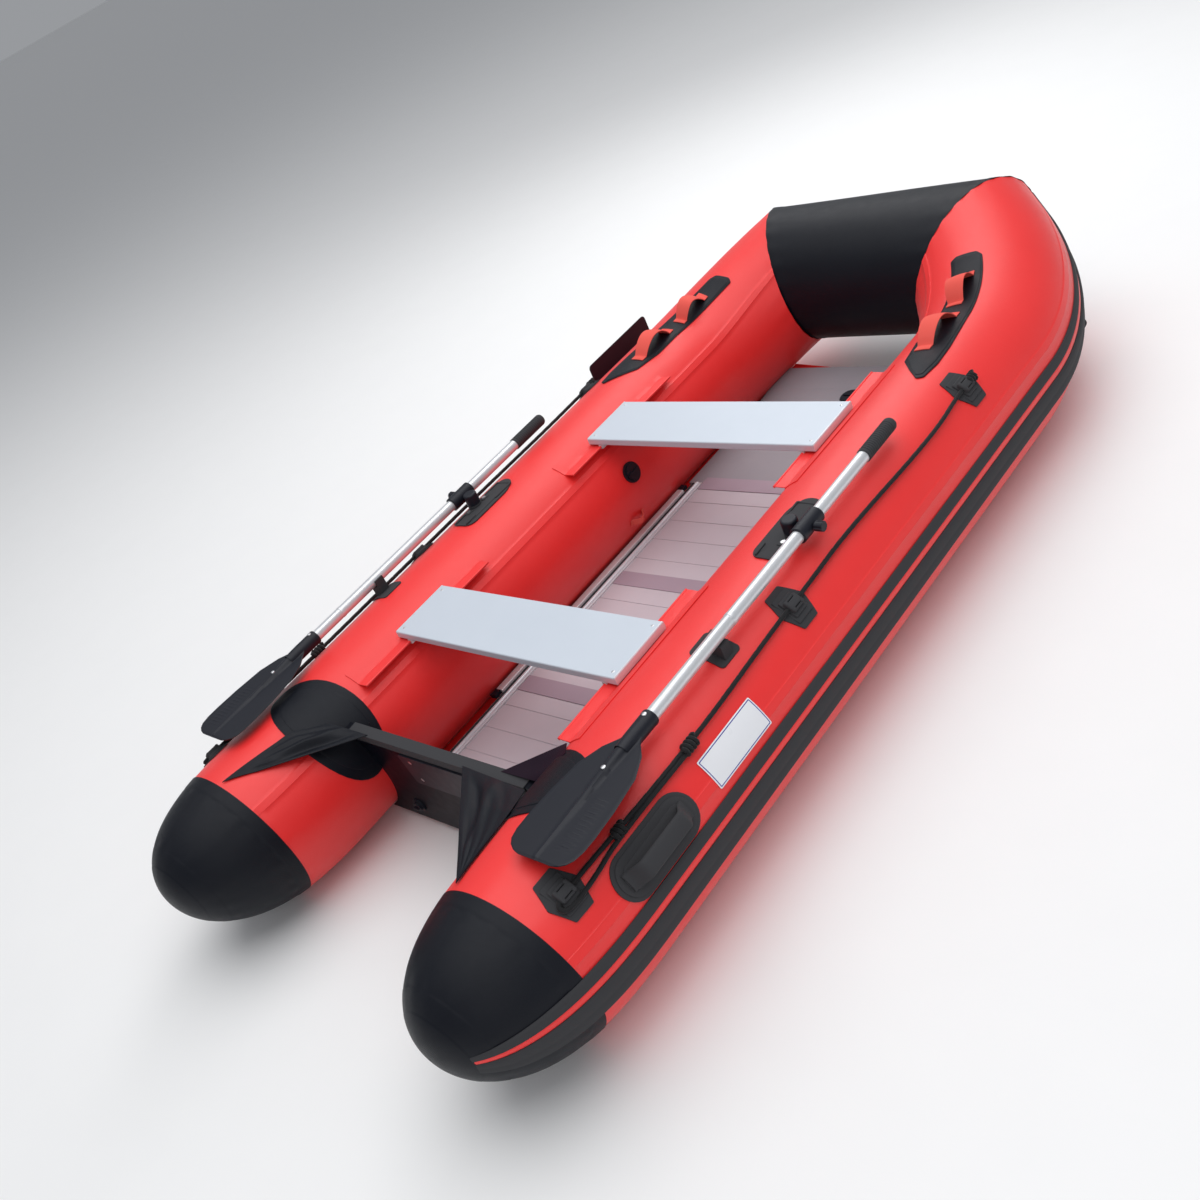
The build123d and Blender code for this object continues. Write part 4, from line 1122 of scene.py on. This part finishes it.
# ---------------------------------------------------------------- bench webs
@dataclass
class BenchWebs:
    """Red fabric flaps with a bead, glued along the tubes under the benches."""

    middles: tuple[float, ...] = (-0.580, 0.350)
    length: float = 0.52
    edge_x: float = 0.362
    bead: float = 0.0036
    height: float = 0.3992

    def web(self, middle: float, side: int) -> BMesh:
        """One flap: glued strip, hanging sheet and beaded edge, slightly wavy at its free ends."""
        rows = 64
        strip = [(math.radians(a), 0.0022) for a in (-24.0, -24.4, -28, -32, -36)]
        ring = [HULL.point(0, strip[0][0], 0.0003)] + [HULL.point(0, a, lift) for a, lift in strip]
        x0, z0 = ring[-1].x, ring[-1].z
        steps = 8
        reach_x, rise = self.edge_x + self.bead - x0, self.height + 0.0012 - z0
        sheet = []
        for k in range(1, steps + 1):
            sheet.append(Vector((x0 + reach_x * k / steps, 0, z0 + rise * ramp(k / steps, 0, 0.6))))
        bead = [
            Vector((self.edge_x + self.bead * math.cos(a), 0, self.height + self.bead * math.sin(a)))
            for a in (TAU * k / 12 for k in range(1, 12))
        ]
        under = [Vector((p.x, 0, p.z - 0.0024)) for p in reversed(sheet)]
        ring += [*sheet, *bead, *under, HULL.point(0, math.radians(-38.0), 0.0003)]
        ring.append(ring[0])

        def place(i: int, j: int) -> Vector:
            p = ring[i]
            y = middle - self.length / 2 + self.length * j / rows
            loose = ramp(abs(y - middle), 0.10, self.length / 2)
            slack = ramp(0.402 - p.x, 0.0, 0.010) * ramp(p.x - self.edge_x, 0.014, 0.022)
            wave = 0.0016 * math.sin(y * 70) + 0.0012 * math.sin(y * 31 + 1)
            return Vector((side * p.x, y, p.z + wave * loose * slack * 0.6))

        return grid(len(ring) - 1, rows, place, wrap=True, cap=True)

    def build(self) -> None:
        """Build all four flaps."""
        for label, side in SIDES.items():
            whole = bmesh.new()
            for middle in self.middles:
                merge(whole, self.web(middle, side))
            finish_piece(whole, f"bench_flaps_{label}", RED_CLOTH, nodes=["bench_webs"], slot="red_fabric")


# ---------------------------------------------------------------- bench trim
@dataclass
class BenchTrim:
    """Pressed end trims and small rivets on both benches."""

    lip: float = 0.004
    rivet: float = 0.0042

    def trim(self, low: Vector, high: Vector) -> BMesh:
        """Two end trims for a bench whose box is given."""
        bm = bmesh.new()
        middle = (low + high) / 2
        size = high - low
        for x in (low.x, high.x):
            inward = 1 if x < middle.x else -1
            face = (x + inward * 0.0005, middle.y, middle.z)
            block(bm, face, (0.003, size.y - 0.002, size.z - 0.001), 0.001)
            block(
                bm, (x + inward * self.lip / 2, middle.y, high.z + 0.0004),
                (self.lip, size.y - 0.004, 0.0012), 0.0005,
            )
        return bm

    def rivets(self, low: Vector, high: Vector) -> BMesh:
        """Four rivet heads near the bench's corners."""
        bm = bmesh.new()
        profile = [(0, 0.0014), (0.0025, 0.0012), (self.rivet, 0.0003), (self.rivet, -0.0010), (0, -0.0010)]
        for x in (low.x + 0.018, high.x - 0.018):
            for y in (low.y + 0.020, high.y - 0.020):
                lathe(bm, profile, (x, y, high.z), UP, 20)
        return bm

    def build(self) -> None:
        """Build the trims and rivets on each bench's body."""
        for bench in ("bench_aft", "bench_front"):
            low, high = (Vector(corner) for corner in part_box(bench))
            finish_piece(self.trim(low, high), f"{bench}_trim", TRIM_METAL, bench, slot="bench_metal")
            finish_piece(self.rivets(low, high), f"{bench}_rivets", STEEL, bench, slot="steel")


# ---------------------------------------------------------------- floor trim
@dataclass
class FloorTrim:
    """Bright beads and dark strips along the floor's side channels."""

    bead_x: float = 0.2985
    bead_radius: float = 0.0075
    dark_strip_x: float = 0.3145
    clear: float = 0.0046

    def strip(self, x: float, half_wide: float, rise: float, side: int) -> BMesh:
        """A half-round strip along the floor boards' edge."""
        low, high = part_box("floor_boards")
        low_y, high_y, base = low[1] + 0.004, high[1] - 0.004, high[2] + self.clear
        steps, rows, sink = 10, 40, 0.0006
        turns = [math.pi * i / steps for i in range(steps + 1)]
        ring = [(x + half_wide * math.cos(a), base + rise * math.sin(a)) for a in turns]
        ring += [(x - half_wide, base - sink), (x + half_wide, base - sink)]

        def place(i: int, j: int) -> Vector:
            across, up = ring[i % len(ring)]
            return Vector((side * across, low_y + (high_y - low_y) * j / rows, up))

        return grid(len(ring), rows, place, wrap=True, cap=True)

    def build(self) -> None:
        """Build a bead and a dark strip on each side."""
        for label, side in SIDES.items():
            bead = self.strip(self.bead_x, self.bead_radius, self.bead_radius, side)
            finish_piece(bead, f"floor_bead_{label}", TRIM_METAL, slot="rail_metal")
            # a dark strip on the channel beside the tube, in the black rubber finish
            dark_strip = self.strip(self.dark_strip_x, 0.005, 0.0035, side)
            finish_piece(dark_strip, f"floor_dark_strip_{label}", BLACK_RUBBER, slot="black_rubber")


# ---------------------------------------------------------------- transom fabric
@dataclass
class TransomFabric:
    """Black boots on the tubes and the slack corner gussets aft of the transom."""

    thickness: float = 0.0020
    boot_place: tuple[float, float] = (-0.974, -39.0)
    corners: dict[int, tuple[Point, ...]] = field(
        default_factory=lambda: {
            1: (
                (0.126, -0.962, 0.3640), (0.372, -0.985, 0.3840),
                (0.413, -1.060, 0.4130), (0.441, -1.265, 0.4230),
            ),
            -1: (
                (0.252, -0.960, 0.3640), (0.385, -0.978, 0.3920),
                (0.432, -1.060, 0.4240), (0.474, -1.268, 0.4345),
            ),
        }
    )
    inner_corners: tuple[Point, ...] = (
        (0.243, -0.944, 0.364), (0.398, -0.849, 0.406), (0.436, -0.888, 0.424), (0.366, -0.946, 0.372)
    )

    def boot(self, side: int) -> BMesh:
        """A round patch welded over the tube's inner top, with a second round layer on it."""
        bm = plate(self.oval(0.104, 0.199), 0.0020, step=0.012)
        merge(bm, plate(self.oval(0.082, 0.165), 0.0030, step=0.012))
        for v in bm.verts:
            if v.co.z > 0.001:
                v.co.z += 0.0009 * math.sin(v.co.x * 60 + v.co.y * 25) * ramp(abs(v.co.y), 0.02, 0.15)
        return drape(bm, *self.boot_place, side, 0.0004)

    @staticmethod
    def cut(corners: Sequence[Point]) -> tuple[tuple[float, float], float]:
        """Flat size and area of a four-cornered sheet, measured from the edge that joins its ends.

        Args:
            corners: the sheet's corners in order.

        Returns:
            The width and length of the smallest rectangle along that edge, and the sheet's area.
        """
        a, b, c, d = (Vector(p) for p in corners)
        along = (d - a).normalized()
        reach = [(p - a).dot(along) for p in (a, b, c, d)]
        width = max(((p - a) - along * (p - a).dot(along)).length for p in (b, c))
        area = ((b - a).cross(d - a).length + (c - b).cross(d - b).length) / 2
        return (width, max(reach) - min(reach)), area

    @staticmethod
    def tube_top(x: float, y: float) -> float:
        """Height of the tube's upper surface at a place in plan, 0 beside the tube."""
        centre, _, _, radius = HULL.station(y)
        reach = x - centre.x
        return centre.z + math.sqrt(radius**2 - reach**2) if abs(reach) < radius * 0.9 else 0.0

    @staticmethod
    def oval(half_long: float, half_round: float, steps: int = 40) -> list[tuple[float, float]]:
        """Corners of an oval."""
        turns = [TAU * k / steps for k in range(steps)]
        return [(half_long * math.cos(a), half_round * math.sin(a)) for a in turns]

    def gusset(self, side: int) -> BMesh:
        """A four-cornered sheet from the transom's top to the tube, drawn out to a point, with soft folds."""
        free, fold, glue, tip = (Vector(p) for p in self.corners[side])
        steps = 48

        def place(i: int, j: int) -> Vector:
            u, v = i / steps, j / steps
            bend = glue if v > 0.35 else fold.lerp(glue, v / 0.35)
            inner = free.lerp(tip, v)
            outer = bend if v <= 0.35 else glue.lerp(tip, (v - 0.35) / 0.65)
            p = inner.lerp(outer, u)
            crest = math.exp(-(((u - 0.55 + 0.25 * v) / 0.10) ** 2)) * 0.010 * (1 - v)
            valley = -math.exp(-(((u - 0.25 - 0.1 * v) / 0.14) ** 2)) * 0.012
            valley *= math.sin(math.pi * min(1.0, v * 1.4))
            small = 0.0012 * math.sin(u * 25 - v * 11)
            held = min(1.0, 6 * u) * min(1.0, 6 * (1 - u)) * min(1.0, 7 * v) * min(1.0, 3 * (1 - v))
            floor = self.tube_top(p.x, p.y) + 0.0045
            return Vector((p.x * side, p.y, max(floor, p.z + (crest + valley + small) * held)))

        bm = grid(steps, steps, place)
        bmesh.ops.remove_doubles(bm, verts=bm.verts, dist=1e-5)
        return thicken(bm, self.thickness)

    def inner_gusset(self) -> BMesh:
        """The loose corner of cloth that shows forward of the transom's starboard end."""
        aft, fore, glue, foot = (Vector(p) for p in self.inner_corners)
        steps = 20

        def place(i: int, j: int) -> Vector:
            u, v = i / steps, j / steps
            p = aft.lerp(foot, u).lerp(fore.lerp(glue, u), v)
            held = math.sin(math.pi * u) * math.sin(math.pi * v)
            return Vector((p.x, p.y, p.z - 0.006 * held))

        return thicken(grid(steps, steps, place), self.thickness)

    def build(self) -> None:
        """Build boots and gussets."""
        cloth = {"finishes": BLACK_CLOTH, "slot": "black_fabric"}
        both_sides(self.boot, "transom_boot", nodes=["transom_boots"], **cloth)
        for label, side in SIDES.items():
            bm = self.gusset(side)
            gusset = finish_piece(bm, f"transom_gusset_{label}", nodes=["transom_gussets"], **cloth)
            flat, area = self.cut(self.corners[side])
            LOG.info("%s cut %.3f x %.3f m, %.4f m2", gusset.name, *flat, area)
        inner = finish_piece(self.inner_gusset(), "inner_gusset", PURPLE_CLOTH, slot="black_fabric")
        flat, area = self.cut(self.inner_corners)
        LOG.info("%s cut %.3f x %.3f m, %.4f m2", inner.name, *flat, area)


# ---------------------------------------------------------------- oars
@dataclass
class Oars:
    """Aluminium shafts with moulded blades and ribbed grips."""

    x: float = 0.618
    z: float = 0.470
    tip: float = -1.176
    blade_end: float = -0.834
    shaft: float = 0.016
    half_width: float = 0.095
    grip_start: float = 0.136

    def width(self, t: float) -> float:
        """Half width of the blade at a share of its length from the tip."""
        stops = (
            (0, 0.50), (0.012, 0.66), (0.04, 0.82), (0.08, 0.93), (0.15, 0.99), (0.25, 1.0), (0.45, 0.96),
            (0.7, 0.84), (0.86, 0.58), (0.95, 0.30), (1.0, 0.20),
        )
        for (a, wa), (b, wb) in zip(stops, stops[1:]):
            if t <= b:
                return self.half_width * (wa + (wb - wa) * (t - a) / (b - a))
        return self.half_width * stops[-1][1]

    def blade(self, side: int) -> BMesh:
        """The blade with its spine, rim and moulded ribs, and the socket."""
        rows = 220
        across = 36

        def place(i: int, j: int) -> Vector:
            t = j / rows
            y = self.tip + (self.blade_end + 0.004 - self.tip) * t
            k = i % (2 * across)
            top = k <= across
            v = 2 * (k / across) - 1 if top else 2 * ((2 * across - k) / across) - 1
            half = self.width(t)
            x = half * v
            thick = 0.0022 + 0.0010 * (1 - v * v)
            spine_width = 0.004 + 0.013 * t * t
            spine = (0.002 + 0.014 * t * t) * math.exp(-((x / spine_width) ** 4))
            rim = 0.0012 * ramp(abs(v), 0.93, 0.97)
            bars = max(0.0, math.sin((y - self.tip) * 560) - 0.35)
            ribs = 0.0016 * bars * ramp(v, 0.30, 0.36) * (1 - ramp(v, 0.66, 0.72))
            ribs *= ramp(t, 0.10, 0.11) * (1 - ramp(t, 0.52, 0.53))
            end = ramp(t, 0.0, 0.02)
            height = (thick + rim + ribs + spine) * (0.4 + 0.6 * end) * (1 - 0.55 * ramp(abs(v), 0.985, 1.0))
            return Vector((side * (self.x + x), y, self.z + (height if top else -height)))

        bm = grid(2 * across, rows, place, wrap=True, cap=True)
        socket = [
            (0.0185, -0.045), (0.0197, -0.020), (0.0200, 0.0), (0.0200, 0.050), (0.0206, 0.052),
            (0.0206, 0.060), (0.0198, 0.062), (0.0164, 0.062), (0.0164, 0.0), (0.0, 0.0),
        ]
        lathe(bm, socket, (self.x * side, self.blade_end, self.z), FORWARD, 40)
        return bm

    def rivets(self, side: int) -> BMesh:
        """The bright rivet heads on the blade's spine."""
        bm = bmesh.new()
        head = [(0, 0.0030), (0.003, 0.0028), (0.0055, 0.0015), (0.0060, 0.0), (0.0060, -0.004), (0, -0.004)]
        for y, z in ((-0.935, 0.4835), (-0.7855, 0.4896)):
            lathe(bm, head, (self.x * side, y, z), UP, 24)
        return bm

    def shaft_tube(self, side: int) -> BMesh:
        """The shaft, drawn in two lengths with a joint ring."""
        start, length, bore = -0.830, 1.098, 0.0145
        groove, collar = 0.0153, 0.0166
        ring = (-0.467 if side > 0 else -0.672) - start
        profile = [
            (bore, 0.0), (self.shaft, 0.0), (self.shaft, ring - 0.004), (groove, ring - 0.003),
            (groove, ring), (collar, ring + 0.001), (collar, ring + 0.010), (self.shaft, ring + 0.012),
            (self.shaft, length), (bore, length), (bore, 0.0),
        ]
        bm = bmesh.new()
        lathe(bm, profile, (self.x * side, start, self.z), FORWARD, 40)
        return bm

    def grip(self, side: int) -> BMesh:
        """The ribbed rubber grip."""
        profile = [(0.0163, 0.0), (0.0178, 0.0), (0.0185, 0.002), (0.0185, 0.006)]
        for k in range(16):
            y = 0.008 + k * 0.0072
            profile += [(0.0185, y), (0.0172, y + 0.0012), (0.0172, y + 0.0028), (0.0185, y + 0.004)]
        profile += [(0.0185, 0.128), (0.0180, 0.134), (0.0160, 0.138), (0.0100, 0.1398), (0, 0.140)]
        bm = bmesh.new()
        lathe(bm, profile, (self.x * side, self.grip_start, self.z), FORWARD, 40)
        return bm

    def build(self) -> None:
        """Build both oars on their own bodies."""
        for label, side in SIDES.items():
            for part, make, finish, slot in (
                ("blade", self.blade, CHARCOAL_PLASTIC, "black_plastic"),
                ("blade_rivets", self.rivets, STEEL, "steel"),
                ("shaft", self.shaft_tube, SHAFT_METAL, "shaft_metal"),
                ("grip", self.grip, BLACK_RUBBER, "black_rubber"),
            ):
                nodes = () if part == "blade_rivets" else (f"oar_{part}_{label}",)
                finish_piece(make(side), f"{part}_{label}", finish, f"oar_{label}", nodes, slot)


# ---------------------------------------------------------------- studio
@dataclass
class Studio:
    """Camera, lights, floor and surroundings."""

    camera_at: Point = (2.2567, -1.9758, 2.0522)
    azimuth: float = 58.2653
    elevation: float = 32.958
    roll: float = -29.2192
    lens: float = 37.11
    shift: tuple[float, float] = (0.0584, 0.0497)
    aim: Point = (0, 0, 0.2)
    lamps: tuple[tuple[str, Point, float, float], ...] = (
        ("overhead", (0.2, 0.3, 7.0), 9.5, 500),
        ("front_fill", (3.5, -3.0, 2.6), 2.5, 25),
        ("bow_light", (-1.5, 3.4, 3.0), 2.5, 45),
    )
    sky: Point = (0.92, 0.95, 1.0)
    sky_strength: float = 0.34
    floor_size: float = 150

    def camera(self) -> None:
        """Set up the camera."""
        az, el, ro = (math.radians(a) for a in (self.azimuth, self.elevation, self.roll))
        forward = Vector((-math.sin(az) * math.cos(el), math.cos(az) * math.cos(el), -math.sin(el)))
        right = forward.cross(Vector((0, 0, 1))).normalized()
        up = right.cross(forward)
        right = right * math.cos(ro) + up * math.sin(ro)
        up = right.cross(forward)
        data = bpy.data.cameras.new("camera")
        data.lens = self.lens
        data.sensor_width = 36
        data.shift_x, data.shift_y = self.shift
        camera = bpy.data.objects.new("camera", data)
        turn = Matrix((right, up, -forward)).transposed()
        camera.matrix_world = Matrix.Translation(self.camera_at) @ turn.to_4x4()
        bpy.context.scene.collection.objects.link(camera)
        bpy.context.scene.camera = camera

    def area(self, name: str, at: Point, size: float, power: float) -> None:
        """A square soft light aimed at the middle of the boat."""
        data = bpy.data.lights.new(name, "AREA")
        data.size = size
        data.energy = power
        lamp = bpy.data.objects.new(name, data)
        lamp.location = at
        lamp.rotation_euler = (Vector(self.aim) - Vector(at)).to_track_quat("-Z", "Y").to_euler()
        bpy.context.scene.collection.objects.link(lamp)

    def build(self) -> None:
        """Build the whole studio."""
        self.camera()
        world = bpy.data.worlds.new("studio")
        world.use_nodes = True
        background = world.node_tree.nodes["Background"]
        background.inputs["Color"].default_value = (*self.sky, 1)
        background.inputs["Strength"].default_value = self.sky_strength
        bpy.context.scene.world = world
        bpy.context.scene.view_settings.view_transform = "Standard"
        for lamp in self.lamps:
            self.area(*lamp)
        bm = bmesh.new()
        bmesh.ops.create_grid(bm, x_segments=1, y_segments=1, size=self.floor_size)
        mesh = bpy.data.meshes.new("floor")
        bm.to_mesh(mesh)
        bm.free()
        floor = bpy.data.objects.new("floor", mesh)
        floor_finish = Finish("studio_floor", (0.88, 0.88, 0.88), (0.86, 0.86, 0.86), 0.9, pitch=0.02)
        mesh.materials.append(floor_finish.material())
        bpy.context.scene.collection.objects.link(floor)


def dress_frame_nodes() -> None:
    """Give every frame node that stays visible its finish."""
    names = list(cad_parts)
    for finish, patterns in DRESSING.items():
        for pattern in patterns:
            for name in fnmatch.filter(names, pattern):
                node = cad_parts[name]
                node.data.materials.clear()
                node.data.materials.append(finish.material())
                LOG.info("%s dressed in %s", name, finish.name)


def main() -> None:
    """Build the studio, then every sub-assembly of the boat in order."""
    logging.basicConfig(level=logging.INFO, format="%(message)s")
    Studio().build()
    valve_strap = BowStraps(
        width=0.020, thickness=0.0018, rise=0.020, half=0.034, foot=0.010,
        spots=((0.212 - HULL.bend_start, -108.0, 0.0010),), name="valve_strap", nodes=(),
    )
    parts = (
        GrabRopes(), BuoyancyTubes(), RubStrakes(), GluedFittings(), BowStraps(), valve_strap, BenchWebs(),
        BenchTrim(), FloorTrim(), TransomFabric(), Oars(),
    )
    for part in parts:
        part.build()
    dress_frame_nodes()


if __name__ == "__main__":
    main()
